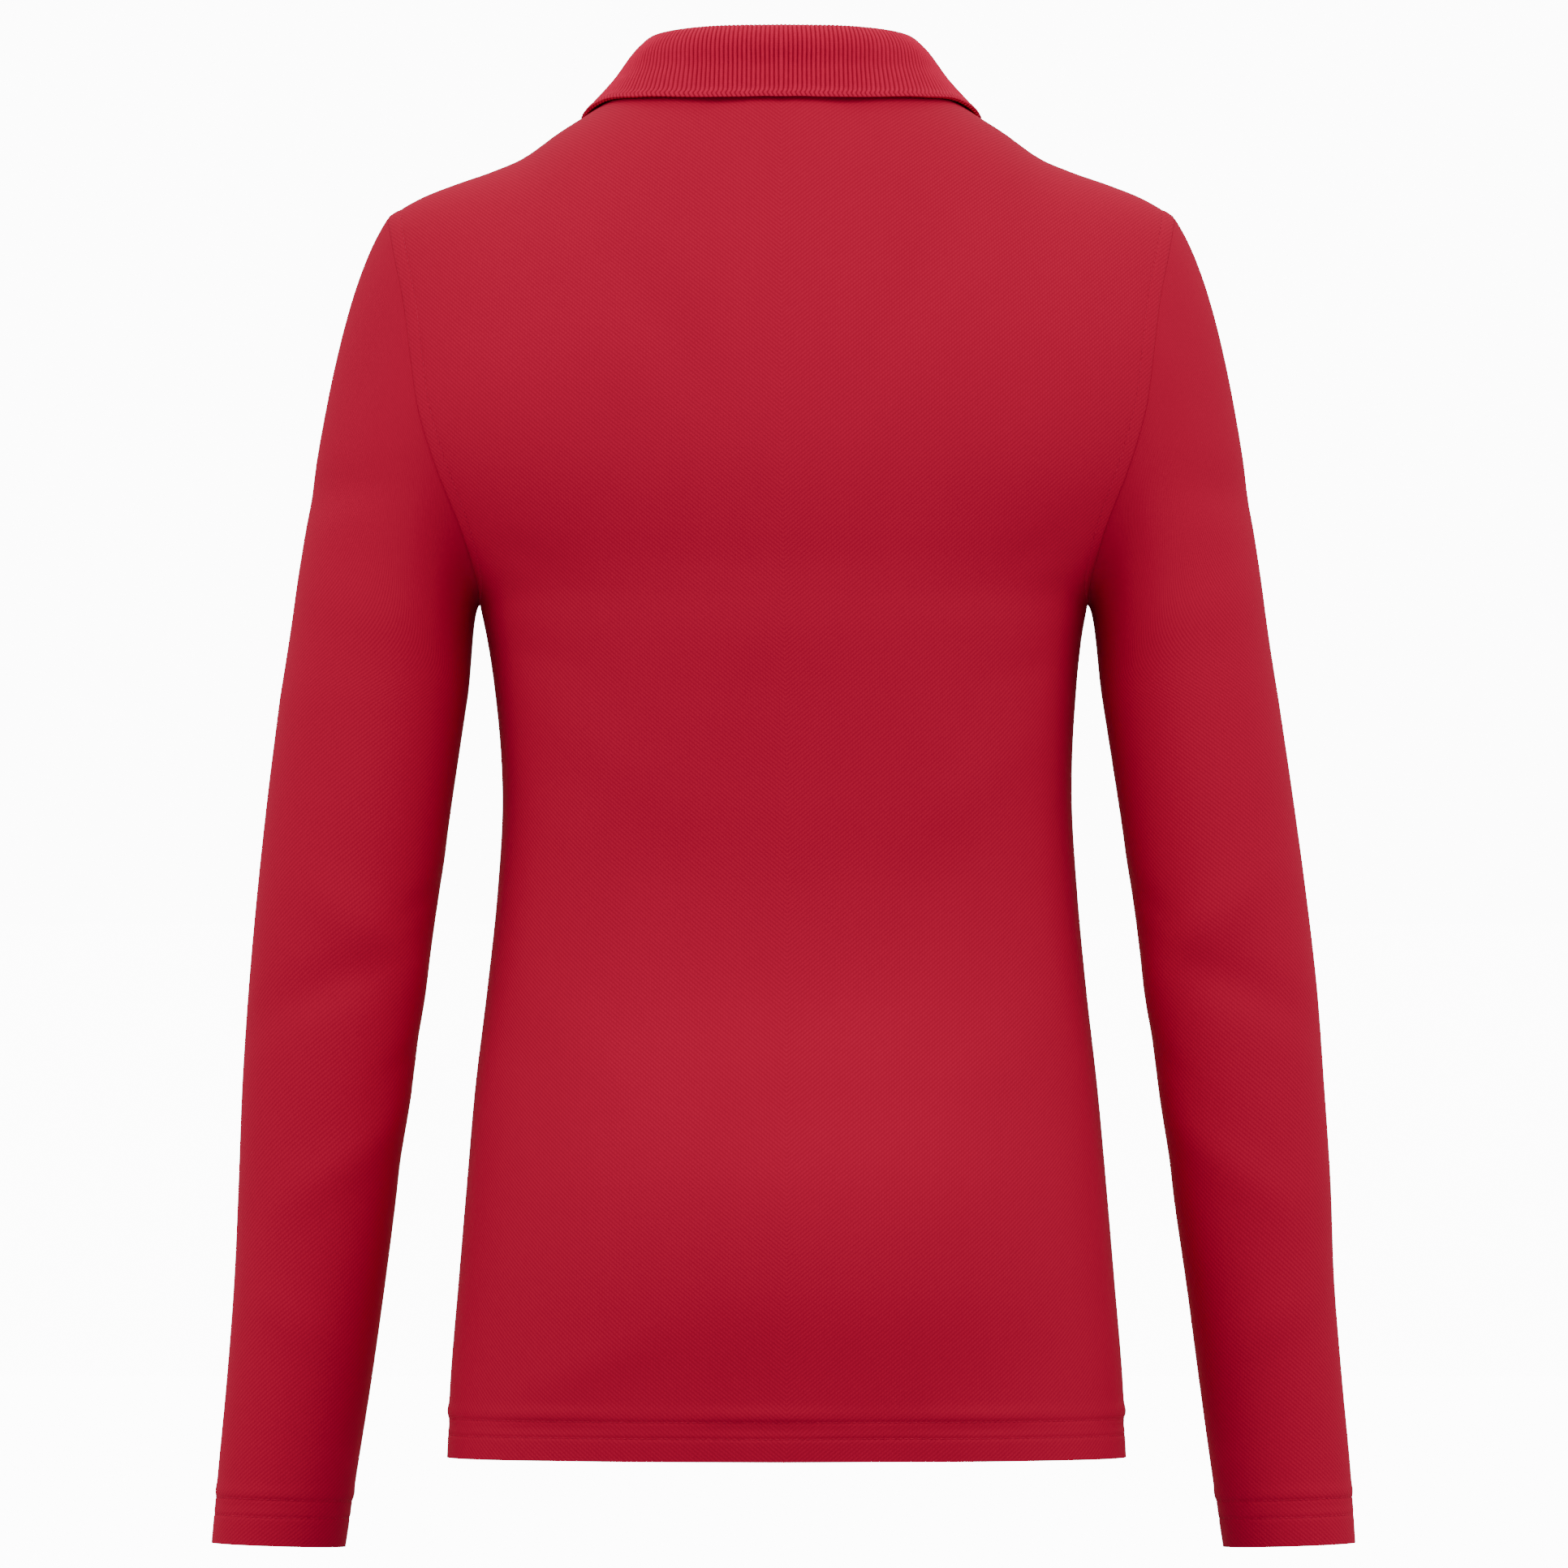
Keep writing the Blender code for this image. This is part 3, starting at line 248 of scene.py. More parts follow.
# Folds: where the crease starts and ends, half its width and its height, in centimetres. A plus
# height is a ridge and a minus height a trough. On the panels a place is out to the left and up;
# on a sleeve it is round from the outer side over the back, in degrees, and up. The first lines
# of each table are the largest folds, and the rest are the finer ones.
FOLD_COLUMNS = ("start_across", "start_up", "end_across", "end_up", "width", "height")
BACK_FOLDS = (
    (8.2, -6.0, 3.2, -14.5, 1.5, -0.16),
    (-8.0, -6.0, -3.4, -14.0, 1.5, -0.15),
    (11.6, -28.0, 6.0, -33.0, 1.6, 0.15),
    (-11.8, -29.0, -6.6, -34.5, 1.6, 0.14),
    (6.6, -31.0, 6.2, -40.0, 1.4, -0.20),
    (-6.8, -32.0, -6.4, -41.0, 1.4, -0.18),
    (12.5, -41.0, 7.0, -47.5, 1.8, 0.12),
    (-12.8, -42.0, -7.6, -48.0, 1.8, 0.12),
    (12.4, -60.8, 6.0, -58.0, 1.2, 0.12),
    (13.6, -20.5, 10.2, -22.5, 0.9, -0.10),
    (-13.4, -20.0, -10.0, -22.6, 0.9, -0.10),
    (13.2, -25.8, 9.4, -26.6, 0.8, -0.07),
    (-13.0, -26.4, -9.8, -27.0, 0.8, -0.07))
FRONT_FOLDS = (
    (9.8, -25.0, 4.0, -30.5, 1.8, -0.18),
    (-10.0, -25.0, -4.4, -31.0, 1.8, -0.17),
    (11.0, -33.0, 6.0, -42.0, 1.8, 0.16),
    (-10.8, -34.0, -5.6, -43.5, 1.8, 0.15),
    (3.5, -44.0, 2.0, -57.0, 2.0, -0.14),
    (-6.0, -46.0, -7.5, -58.0, 2.0, -0.14),
    (12.8, -21.0, 9.4, -22.8, 0.9, -0.09),
    (-12.6, -20.6, -9.2, -22.4, 0.9, -0.09),
    (12.4, -26.6, 8.8, -27.8, 0.8, -0.07),
    (-12.2, -27.2, -8.6, -28.0, 0.8, -0.07))
SLEEVE_FOLDS = (
    (5.0, -18.6, 95.0, -17.9, 1.1, -0.20),
    (20.0, -22.5, 120.0, -25.0, 1.4, 0.14),
    (265.0, -18.5, 350.0, -19.5, 1.2, -0.18),
    (60.0, -36.5, 165.0, -42.0, 1.3, 0.22),
    (30.0, -43.5, 150.0, -39.5, 1.2, -0.20),
    (200.0, -36.0, 330.0, -42.0, 1.4, 0.24),
    (70.0, -52.0, 165.0, -47.0, 1.2, 0.18),
    (190.0, -50.0, 300.0, -55.0, 1.4, -0.18),
    (40.0, -56.0, 140.0, -59.5, 1.2, 0.12),
    (120.0, -38.6, 176.0, -36.6, 0.6, -0.10),
    (128.0, -46.0, 178.0, -44.2, 0.6, -0.08),
    (330.0, -36.5, 372.0, -37.6, 0.6, -0.08))
DEGREES_FOR_1_CM = 13.0
FOLD_FADE_HEM = 3.0 * CM    # the panels' folds fade out over this height above the hem
FOLD_FADE_TOP = 4.0 * CM    # and below the top edge
FOLD_FADE_SIDE = 0.12       # and over this share of the half width beside the seams
FOLD_FADE_CUFF = 4.0 * CM   # and the sleeves' over this height above the cuff's hem


# ---- small tools ----------------------------------------------------------------------------

def cubic(t, start, leave, end, arrive):
    """The smooth curve between two values that leaves and arrives at the given slopes."""
    return ((2 * t**3 - 3 * t**2 + 1) * start + (t**3 - 2 * t**2 + t) * leave
            + (3 * t**2 - 2 * t**3) * end + (t**3 - t**2) * arrive)


def read(table, column, at):
    """A column of a table at any place, on a smooth curve through its rows."""
    places = next(iter(table.values()))
    values = table[column]
    slopes = np.gradient(values, places)
    at = np.clip(at, places[0], places[-1])
    i = np.clip(np.searchsorted(places, at, side="right") - 1, 0, len(places) - 2)
    span = places[i + 1] - places[i]
    t = (at - places[i]) / span
    return cubic(t, values[i], span * slopes[i], values[i + 1], span * slopes[i + 1])


def unit(vectors):
    return vectors / np.linalg.norm(vectors, axis=-1, keepdims=True)


def lengths_along(points, axis=0):
    """Distance walked along a line or a grid of points, from its first."""
    steps = np.linalg.norm(np.diff(points, axis=axis), axis=-1)
    start = np.zeros_like(np.take(steps, [0], axis=axis))
    return np.concatenate([start, np.cumsum(steps, axis=axis)], axis=axis)


def stops(*parts):
    """Places in metres, from a start, an end and a step each, in millimetres."""
    return MM * np.concatenate([np.arange(start, end, step) for start, end, step in parts])


def soft_step(value, start, end):
    t = np.clip((value - start) / (end - start), 0.0, 1.0)
    return t * t * (3 - 2 * t)


def groove(distance, width):
    return np.exp(-(distance / width)**2)


def relief(name, distance):
    """Height of a line of fine relief at a distance from it."""
    height, reach = RELIEF[name]
    return height * MM * groove(distance, reach * MM)


def turned_edge(edge, around, up):
    """Relief of a turned and stitched edge: two rows that sink in and pucker, the full cloth
    between them, and beside the upper row the cloth that its stitches draw out and in."""
    low, high = edge["rows"]
    waves = [np.sin(around / (length * MM) + start) for length, start in edge["puckers"]]
    pucker = 0.6 * waves[0] + 0.4 * waves[1]
    sink = edge["sink"] * MM + ROW_PUCKER * pucker
    lift = -sink * (groove(up - low, ROW_REACH) + groove(up - high, ROW_REACH))
    lift = lift + FULL_BETWEEN_ROWS * np.sin(math.pi * np.clip((up - low) / (high - low), 0, 1))
    length, start = edge["drawn"]
    drawn = 0.7 + 0.3 * np.sin(around / (length * MM) + start)
    for height, away, reach in (edge["rise"], edge["dip"]):
        lift = lift + height * MM * drawn * groove(up - high - away * MM, reach * MM)
    return lift


def fold_height(folds, across, up, across_for_1_cm=1.0):
    """Height of the soft creases at places on a piece."""
    total = np.zeros(np.broadcast(across, up).shape)
    for crease in folds:
        fold = dict(zip(FOLD_COLUMNS, crease))
        run_across = (fold["end_across"] - fold["start_across"]) / across_for_1_cm
        run_up = fold["end_up"] - fold["start_up"]
        length = math.hypot(run_across, run_up)
        dx = (across - fold["start_across"]) / across_for_1_cm
        dz = up - fold["start_up"]
        along = (dx * run_across + dz * run_up) / length
        aside = (dx * run_up - dz * run_across) / length
        middle = np.clip(along / length, 0.0, 1.0)
        past = np.maximum(0.0, np.maximum(-along, along - length))
        swell = np.sin(np.pi * (0.12 + 0.76 * middle))
        total += fold["height"] * swell * np.exp(-((aside**2 + past**2) / fold["width"]**2))
    return total * CM


def placed(name, data):
    """A new object that holds a mesh, a curve, a lamp or a camera, linked into the scene."""
    thing = bpy.data.objects.new(name, data)
    bpy.context.scene.collection.objects.link(thing)
    return thing


def drawn_lines(name, lines):
    """A curve object with one straight-sided spline for each line of points."""
    curve = bpy.data.curves.new(name, "CURVE")
    curve.dimensions = "3D"
    for line in lines:
        spline = curve.splines.new("POLY")
        spline.points.add(len(line) - 1)
        spline.points.foreach_set("co", np.column_stack([line, np.ones(len(line))]).ravel())
    return placed(name, curve)


def from_bmesh(name, bm):
    """A mesh made from a bmesh, which is then freed."""
    mesh = bpy.data.meshes.new(name)
    bm.to_mesh(mesh)
    bm.free()
    return mesh


def evaluated_mesh(thing):
    """What an object's modifiers or bevel make of it, as a mesh of its own."""
    return bpy.data.meshes.new_from_object(
        thing.evaluated_get(bpy.context.evaluated_depsgraph_get()))


def made_mesh(maker, material):
    """The evaluated object as a plain mesh object of its own."""
    name, mesh = maker.name, evaluated_mesh(maker)
    bpy.data.objects.remove(maker)
    mesh.name = name
    mesh.materials.clear()
    mesh.materials.append(material)
    mesh.shade_smooth()
    return placed(name, mesh)


def cloth_object(name, outer, inner, uv, material, keep=None, ring=False, flip=False,
                 inner_uv=None):
    """A thin closed shell between two grids of points. uv has one column more than a ring's
    points, so that the pattern runs on over the last cell."""
    skin_uv = {"o": uv, "i": uv if inner_uv is None else inner_uv}
    rows, columns = outer.shape[:2]
    number = np.arange(rows * columns).reshape(rows, columns)
    if ring:
        number = np.concatenate([number, number[:, :1]], axis=1)
    cells = number.shape[1] - 1
    if keep is None:
        keep = np.ones((rows - 1, cells), bool)
    inside = rows * columns
    corner = {"a": (slice(None, -1), slice(None, -1)), "b": (slice(None, -1), slice(1, None)),
              "d": (slice(1, None), slice(None, -1)), "e": (slice(1, None), slice(1, None))}
    side = np.pad(keep, 1)
    if ring:
        side[:, 0], side[:, -1] = side[:, -2], side[:, 1]
    borders = {"below": side[:-2, 1:-1], "above": side[2:, 1:-1],
               "before": side[1:-1, :-2], "after": side[1:-1, 2:]}
    walls = (("abed", "oooo", keep), ("deba", "iiii", keep),
             ("baab", "ooii", keep & ~borders["below"]), ("deed", "ooii", keep & ~borders["above"]),
             ("adda", "ooii", keep & ~borders["before"]), ("ebbe", "ooii", keep & ~borders["after"]))
    faces, places = [], []
    for corners, skins, where in walls:
        picked = [number[corner[c]][where] + inside * (s == "i") for c, s in zip(corners, skins)]
        faces.append(np.stack(picked, axis=1))
        places.append(np.stack([skin_uv[s][corner[c]][where] for c, s in zip(corners, skins)], axis=1))
    faces, places = np.concatenate(faces), np.concatenate(places)
    if flip:
        faces, places = faces[:, ::-1], places[:, ::-1]
    used, faces = np.unique(faces, return_inverse=True)
    faces = faces.reshape(-1, 4)
    points = np.concatenate([outer.reshape(-1, 3), inner.reshape(-1, 3)])[used]
    mesh = bpy.data.meshes.new(name)
    mesh.from_pydata(points.tolist(), [], faces.tolist())
    mesh.uv_layers.new(name="cloth").data.foreach_set("uv", places.ravel())
    mesh.shade_smooth()
    mesh.set_sharp_from_angle(angle=math.radians(60))
    mesh.materials.append(material)
    return placed(name, mesh)


# ---- the torso surface ----------------------------------------------------------------------

def ridge_height(out):
    """Height at which the torso surface closes over: the shoulder line, and above the neck hole
    the height that makes the surface pass through the back neckline."""
    out = np.abs(out)
    line = read(SHOULDER, "height", out)
    inside = np.clip(out / NECK_OUT, 0.0, 1.0)
    behind = NECK_BACK * np.sqrt(1.0 - inside**2)
    across = np.abs(out / read(TORSO, "wide_back", NECK_BACK_HEIGHT))**ROUNDNESS
    deep = (behind / read(TORSO, "back", NECK_BACK_HEIGHT))**ROUNDNESS / (1.0 - across)
    rounded = np.maximum(1.0 - deep, 1e-6)**(1.0 / ROUNDNESS)
    over_neck = SHOULDER_ROUND_FROM + (NECK_BACK_HEIGHT - SHOULDER_ROUND_FROM) / rounded
    return np.where(out < NECK_OUT, over_neck, line)


def torso_level(out, behind, height, side):
    """Zero on the torso surface and positive outside it; out is measured from its middle."""
    across = np.abs(out / read(TORSO, "wide_" + side, height))**ROUNDNESS
    deep = np.abs(behind / read(TORSO, side, height))**ROUNDNESS
    over = (height - SHOULDER_ROUND_FROM) / (ridge_height(out) - SHOULDER_ROUND_FROM)
    return deep - (1.0 - across) * (1.0 - np.maximum(over, 0.0)**ROUNDNESS)


def torso_depth(out, height, side):
    """Distance of the torso surface from the shoulder line's plane."""
    across = np.abs(out / read(TORSO, "wide_" + side, height))**ROUNDNESS
    over = (height - SHOULDER_ROUND_FROM) / (ridge_height(out) - SHOULDER_ROUND_FROM)
    left = (1.0 - across) * (1.0 - np.maximum(over, 0.0)**ROUNDNESS)
    return read(TORSO, side, height) * np.maximum(left, 0.0)**(1.0 / ROUNDNESS)


def torso_slope(out, behind, height, side):
    """How fast torso_level grows along out, behind and height."""
    h = SLOPE_STEP
    return np.stack([
        torso_level(out + h, behind, height, side) - torso_level(out - h, behind, height, side),
        torso_level(out, behind + h, height, side) - torso_level(out, np.abs(behind - h), height, side),
        torso_level(out, behind, height + h, side) - torso_level(out, behind, height - h, side),
    ], axis=-1) / (2 * h)


def facing(side):
    return np.array([1.0, 1.0 if side == "back" else -1.0, 1.0])


def torso_normal(out, behind, height, side):
    """Outward direction of the torso surface; behind is a depth without its sign."""
    return unit(torso_slope(out, behind, height, side)) * facing(side)


def torso_point(out, height, side, lift=0.0):
    """A point on the torso surface, moved out by lift; out is measured from its middle."""
    depth = np.maximum(torso_depth(out, height, side), SEAM_GAP / 2)
    normal = torso_normal(out, depth, height, side)
    point = np.stack([out, depth, height + 0.0 * out], axis=-1) * facing(side)
    point[..., 0] += read(TORSO, "centre", height)
    return point + np.asarray(lift)[..., None] * normal


def armhole_line(side, shares):
    """Out and height of the armhole seam at shares of the way from the underarm to the tip."""
    rise = np.linspace(0.0, 1.0, 400)**2
    height = UNDERARM_HEIGHT + (TIP_HEIGHT - UNDERARM_HEIGHT) * rise
    out = np.minimum(read(ARMHOLE, side, height), read(TORSO, "wide_" + side, height))
    line = np.stack([out, torso_depth(out, height, side), height], axis=1)
    along = lengths_along(line)
    closer_at_ends = 0.5 * shares + 0.5 * (0.5 - 0.5 * np.cos(math.pi * shares))
    at = along[-1] * closer_at_ends
    return np.interp(at, along, out), np.interp(at, along, height)


def neckline(side):
    """Out and height of half the neckline, from the shoulder seam to the centre."""
    turn = np.linspace(0.0, math.pi / 2, 200)
    out = NECK_OUT * np.cos(turn)
    height = np.full(200, NECK_BACK_HEIGHT)
    if side == "front":
        top = read(SHOULDER, "height", NECK_OUT)
        height = top + (NECK_FRONT_HEIGHT - top) * np.sin(turn)**NECK_FRONT_SHAPE
    return out, height


# ---- the panels -----------------------------------------------------------------------------

HEM_STOPS = stops((0, 2.0, 0.6), (2.0, 9.2, 1.2), (9.2, 21.0, 0.6), (21.0, 30.0, 1.5),
                  (30.0, 402.0, 4.0))
EDGE_STOPS = stops((0, 1.8, 0.45), (1.8, 5.8, 1.0), (5.8, 8.5, 0.6), (8.5, 16.0, 1.5))
SHOULDER_COLUMNS = 25
NECK_COLUMNS = 30
CENTRE_CELLS = 8
ARMHOLE_ROWS = 54
ARMHOLE_SHARES = np.append(np.linspace(0.0, 0.97, ARMHOLE_ROWS), (0.98, 0.99, 0.996, 1.0))
PLACES = np.linspace(0.0, 1.0, 300)**1.2    # along a row before its columns are picked
MIDDLE_TURN = math.pi / 2 * 13 / 14         # where a low row's half section ends, beside the slit
TAKES_TOP_FROM, TAKES_TOP_TO = -44.0 * CM, -24.0 * CM   # over which the columns start to lean to
TAKES_TOP = 0.25                                        # the top edge's spacing, by this share


def top_edge(side, places):
    """Out and height of a panel's top edge, at places from the shoulder tip (0) over the neck
    corner (0.5) to beside the centre (1)."""
    neck_out, neck_height = neckline(side)
    depth = torso_depth(neck_out, neck_height, side)
    kept = neck_out >= PLACKET_WIDTH / 2
    line = np.stack([neck_out, depth, neck_height], axis=1)[kept]
    along = lengths_along(line)
    along = along / along[-1]
    seam_out = TIP_OUT + (NECK_OUT - TIP_OUT) * np.minimum(2 * places, 1.0)
    over_neck = 2 * places - 1
    out = np.where(places < 0.5, seam_out, np.interp(over_neck, along, line[:, 0]))
    height = np.where(places < 0.5, read(SHOULDER, "height", seam_out),
                      np.interp(over_neck, along, line[:, 2]))
    return out, height


def panel_grid(side):
    """Out, height and distance in from the edge of a panel's grid, from the left edge to the
    right one, rows from the hem up; and the number of rows below the underarm."""
    hem = TORSO["height"][0]
    beside = PLACKET_WIDTH / 2
    low_heights = hem + HEM_STOPS
    arm_out, arm_height = armhole_line(side, ARMHOLE_SHARES)
    edge_out = np.concatenate([read(TORSO, "wide_" + side, low_heights), arm_out])
    edge_height = np.concatenate([low_heights, arm_height])
    rise = np.maximum(edge_height - UNDERARM_HEIGHT, 0.0) / (TIP_HEIGHT - UNDERARM_HEIGHT)
    up = np.concatenate([0.0 * low_heights, ARMHOLE_SHARES])
    takes_top = soft_step(edge_height, TAKES_TOP_FROM, TAKES_TOP_TO)
    blend = (TAKES_TOP * takes_top + (1 - TAKES_TOP) * up)[:, None]

    top_out, top_height = top_edge(side, PLACES)
    top_share = (top_out - beside) / (TIP_OUT - beside)
    low_out = np.cos(PLACES * MIDDLE_TURN)**(2.0 / ROUNDNESS)
    low_share = (low_out - low_out[-1]) / (1.0 - low_out[-1])
    out = beside + (edge_out[:, None] - beside) * (low_share * (1 - blend) + top_share * blend)
    over = UNDERARM_HEIGHT + rise[:, None] * (top_height - UNDERARM_HEIGHT)
    height = np.where(rise[:, None] > 0, over, edge_height[:, None])
    along = lengths_along(torso_point(out, height, side), axis=1)

    corner = np.argmin(np.abs(PLACES - 0.5))
    picked_out, picked_height, picked_in = [], [], []
    for row, walked in enumerate(along):
        at = np.concatenate([
            EDGE_STOPS,
            np.linspace(EDGE_STOPS[-1], walked[corner], SHOULDER_COLUMNS + 1)[1:],
            np.linspace(walked[corner], walked[-1], NECK_COLUMNS + 1)[1:]])
        picked_out.append(np.interp(at, walked, out[row]))
        picked_height.append(np.interp(at, walked, height[row]))
        picked_in.append(at)
    out, height, inwards = np.array(picked_out), np.array(picked_height), np.array(picked_in)
    centre = np.linspace(beside, -beside, CENTRE_CELLS + 1)[None, 1:-1] + 0.0 * out[:, :1]
    out = np.concatenate([out, centre, -out[:, ::-1]], axis=1)
    middle = height[:, -1:] + 0.0 * centre
    height = np.concatenate([height, middle, height[:, ::-1]], axis=1)
    inwards = np.concatenate([inwards, inwards[:, -1:] + 0.0 * centre, inwards[:, ::-1]], axis=1)
    return out, height, inwards, len(low_heights)


def cloth_places(out, height, side):
    """Where each point of a panel lies in the flat cloth: wales run up and courses across."""
    ways = np.linspace(0.0, 1.0, 33)
    fan = np.sin(ways * math.pi / 2)
    across = out[..., None] * fan
    line = torso_point(across, height[..., None] + 0.0 * across, side)
    u = np.sign(out) * lengths_along(line, axis=2)[..., -1]
    start = np.minimum(height, SHOULDER_ROUND_FROM)
    up = start[..., None] + (height - start)[..., None] * fan
    line = torso_point(out[..., None] + 0.0 * up, up, side)
    v = start + lengths_along(line, axis=2)[..., -1]
    return np.stack([u, v], axis=-1)


def make_panel(side, folds, material):
    """A panel's shell, and the lines on it that are stitched."""
    out, height, inwards, underarm_row = panel_grid(side)
    uv = cloth_places(out, height, side)
    hem = TORSO["height"][0]
    up = height - hem
    corner = np.clip(1 - inwards / HEM_CORNER, 0.0, 1.0)**2 * np.clip(1 - up / (4 * HEM_CORNER), 0, 1)
    height = height + 0.6 * HEM_CORNER * corner
    edge = np.abs(out) / np.abs(out[:, :1])
    fade = np.clip(up / FOLD_FADE_HEM, 0.0, 1.0) * np.clip((1.0 - edge) / FOLD_FADE_SIDE, 0.0, 1.0)
    fade = fade * np.clip((height[-1:] - height) / FOLD_FADE_TOP, 0.0, 1.0)
    lift = fade * fold_height(folds, out / CM, height / CM)

    # The armhole's edge lies on the turned seam and is stitched down; the side seam sinks in.
    rows = np.arange(len(out))[:, None]
    on_armhole = soft_step(rows, underarm_row - 1, underarm_row + 5)
    band = ARMHOLE_BAND * (1 - soft_step(inwards, TOPSTITCH - 1.0 * MM, TOPSTITCH + 1.5 * MM))
    stitched_down = band + relief("armhole topstitch", inwards - TOPSTITCH)
    lift = lift + on_armhole * (stitched_down + relief("armhole turn", inwards))
    lift = lift + (1 - on_armhole) * relief("side seam", inwards)
    on_shoulder = np.abs(out) > NECK_OUT
    lift = lift + on_shoulder * relief("shoulder seam", height[-1:] - height)

    # The hem is a double layer, held by a twin needle, and its edge waves a little.
    around = uv[..., 0]
    lift = lift + turned_edge(HEM, around, up)
    roll = 0.7 * np.sin(around / (24 * MM) + 0.4) + 0.5 * np.sin(around / (13 * MM) + 2.0)
    lift = lift + 0.5 * MM * roll * (1 - soft_step(up, 4 * MM, 40 * MM)) * soft_step(inwards, 0, 3 * CM)
    cloth = CLOTH * (2.0 - soft_step(up, HEM_DEPTH, HEM_DEPTH + 0.8 * MM))

    outer = torso_point(out, height, side, lift)
    inner = torso_point(out, height, side, lift - cloth)
    # At the side and shoulder seams the cloth turns in and reaches past its neighbour.
    seam = on_shoulder & (torso_depth(out, height, side) < SEAM_GAP)
    seam[-1] = on_shoulder[-1]
    seam[:underarm_row, [0, -1]] = True
    outer[seam, 1], inner[seam, 1] = 0.0, -facing(side)[1] * SEAM_ALLOWANCE
    keep = np.ones((out.shape[0] - 1, out.shape[1] - 1), bool)
    if side == "front":
        middle = out.shape[1] // 2
        cut = height[:-1, middle] > PLACKET_BOTTOM
        keep[cut, middle - CENTRE_CELLS // 2:middle + CENTRE_CELLS // 2] = False
    piece = cloth_object(side + "_panel", outer, inner, uv, material, keep, flip=side == "front")
    stitched = [outer[np.argmin(np.abs(HEM_STOPS - row))] for row in HEM_ROWS]
    column = np.argmin(np.abs(EDGE_STOPS - TOPSTITCH))
    stitched += [outer[underarm_row:, column], outer[underarm_row:, -1 - column]]
    return piece, stitched


# ---- the sleeves ----------------------------------------------------------------------------

SLEEVE_COLUMNS = 104
CAP_ROWS = 44
CUFF_STOPS = stops((0, 2.0, 0.6), (2.0, 12.0, 1.2), (12.0, 24.0, 0.6), (24.0, 32.0, 1.6),
                   (32.0, 402.0, 4.0))


def grid_normals(grid, ring):
    """Directions square to a grid of points, by the differences of its neighbours."""
    along = np.gradient(grid, axis=0)
    around = np.gradient(grid, axis=1)
    if ring:
        around = np.roll(grid, -1, axis=1) - np.roll(grid, 1, axis=1)
    return unit(np.cross(around, along))


def armhole_loop(mirror):
    """The armhole seam as a closed line with its surface normals, from the tip over the back
    to the underarm and up the front. x is measured away from the middle of the body."""
    shares = np.linspace(0.0, 1.0, SLEEVE_COLUMNS // 2 + 1)
    lines, normals = [], []
    for side in ("back", "front"):
        out, height = armhole_line(side, shares)
        depth = torso_depth(out, height, side)
        depth[0] = depth[-1] = 0.0
        normals.append(unit(torso_slope(out, np.maximum(depth, SEAM_GAP / 2), height, side)))
        x = out + mirror * read(TORSO, "centre", height)
        lines.append(np.stack([x, depth * facing(side)[1], height], axis=1))
    line = np.concatenate([lines[0][::-1], lines[1][1:-1]])
    normal = np.concatenate([normals[0][::-1], normals[1][1:-1]])
    return line, normal


def tube_ring(which, height):
    """A section of the sleeve below its cap, from the outer side going over the back."""
    turn = 2 * math.pi * np.arange(SLEEVE_COLUMNS) / SLEEVE_COLUMNS
    across, deep = np.cos(turn), np.sin(turn)
    power = 2.0 / SLEEVE_ROUNDNESS
    outer = read(SLEEVE, which + "_outer", height)
    inner = read(SLEEVE, which + "_inner", height)
    out = (outer + inner) / 2 + (outer - inner) / 2 * np.sign(across) * np.abs(across)**power
    behind = (read(SLEEVE, "behind", height)
              + read(SLEEVE, "half_depth", height) * np.sign(deep) * np.abs(deep)**power)
    up = height + CUFF_TILT * (out - (outer + inner) / 2)
    return np.stack([out, behind, up], axis=1)


def cap_rings(which, mirror, places):
    """Sections from the armhole to the top of the tube, after three that lie under the panel's
    edge."""
    seam, normal = armhole_loop(mirror)
    around = unit(np.roll(seam, -1, axis=0) - np.roll(seam, 1, axis=0))
    away = unit(np.cross(around, normal))
    if away[0, 0] < 0:
        away = -away
    target = tube_ring(which, SLEEVE_TOP)
    middle = target.mean(axis=0)
    faces_out = unit((target - middle) * (1.0, 1.0, 0.0))
    turned = (1.0 - np.sum(normal * faces_out, axis=1, keepdims=True)) / 2.0
    start = seam + SEAM_GAP * away - CAP_STEP * normal
    down = np.array([0.0, 0.0, -1.0])
    over = unit(CAP_LEAVE[0] * away + CAP_LEAVE[1] * normal + CAP_LEAVE[2] * down)
    under = unit(normal + UNDERARM_LEAN * away)
    weight = turned**UNDERARM_REACH
    span = np.linalg.norm(target - start, axis=1, keepdims=True)
    leave = span * ((1 - weight) * CAP_LEAVE_PULL * over + weight * UNDERARM_PULL * under)
    arrive = span * CAP_ARRIVE_PULL * np.array(CAP_ARRIVE)
    rings = [seam + out * MM * away - down * MM * normal
             for out, down in ((-4.0, 2.2), (-1.5, 1.8), (-0.2, 1.2))]
    return rings + [cubic(t, start, leave, target, arrive) for t in places]


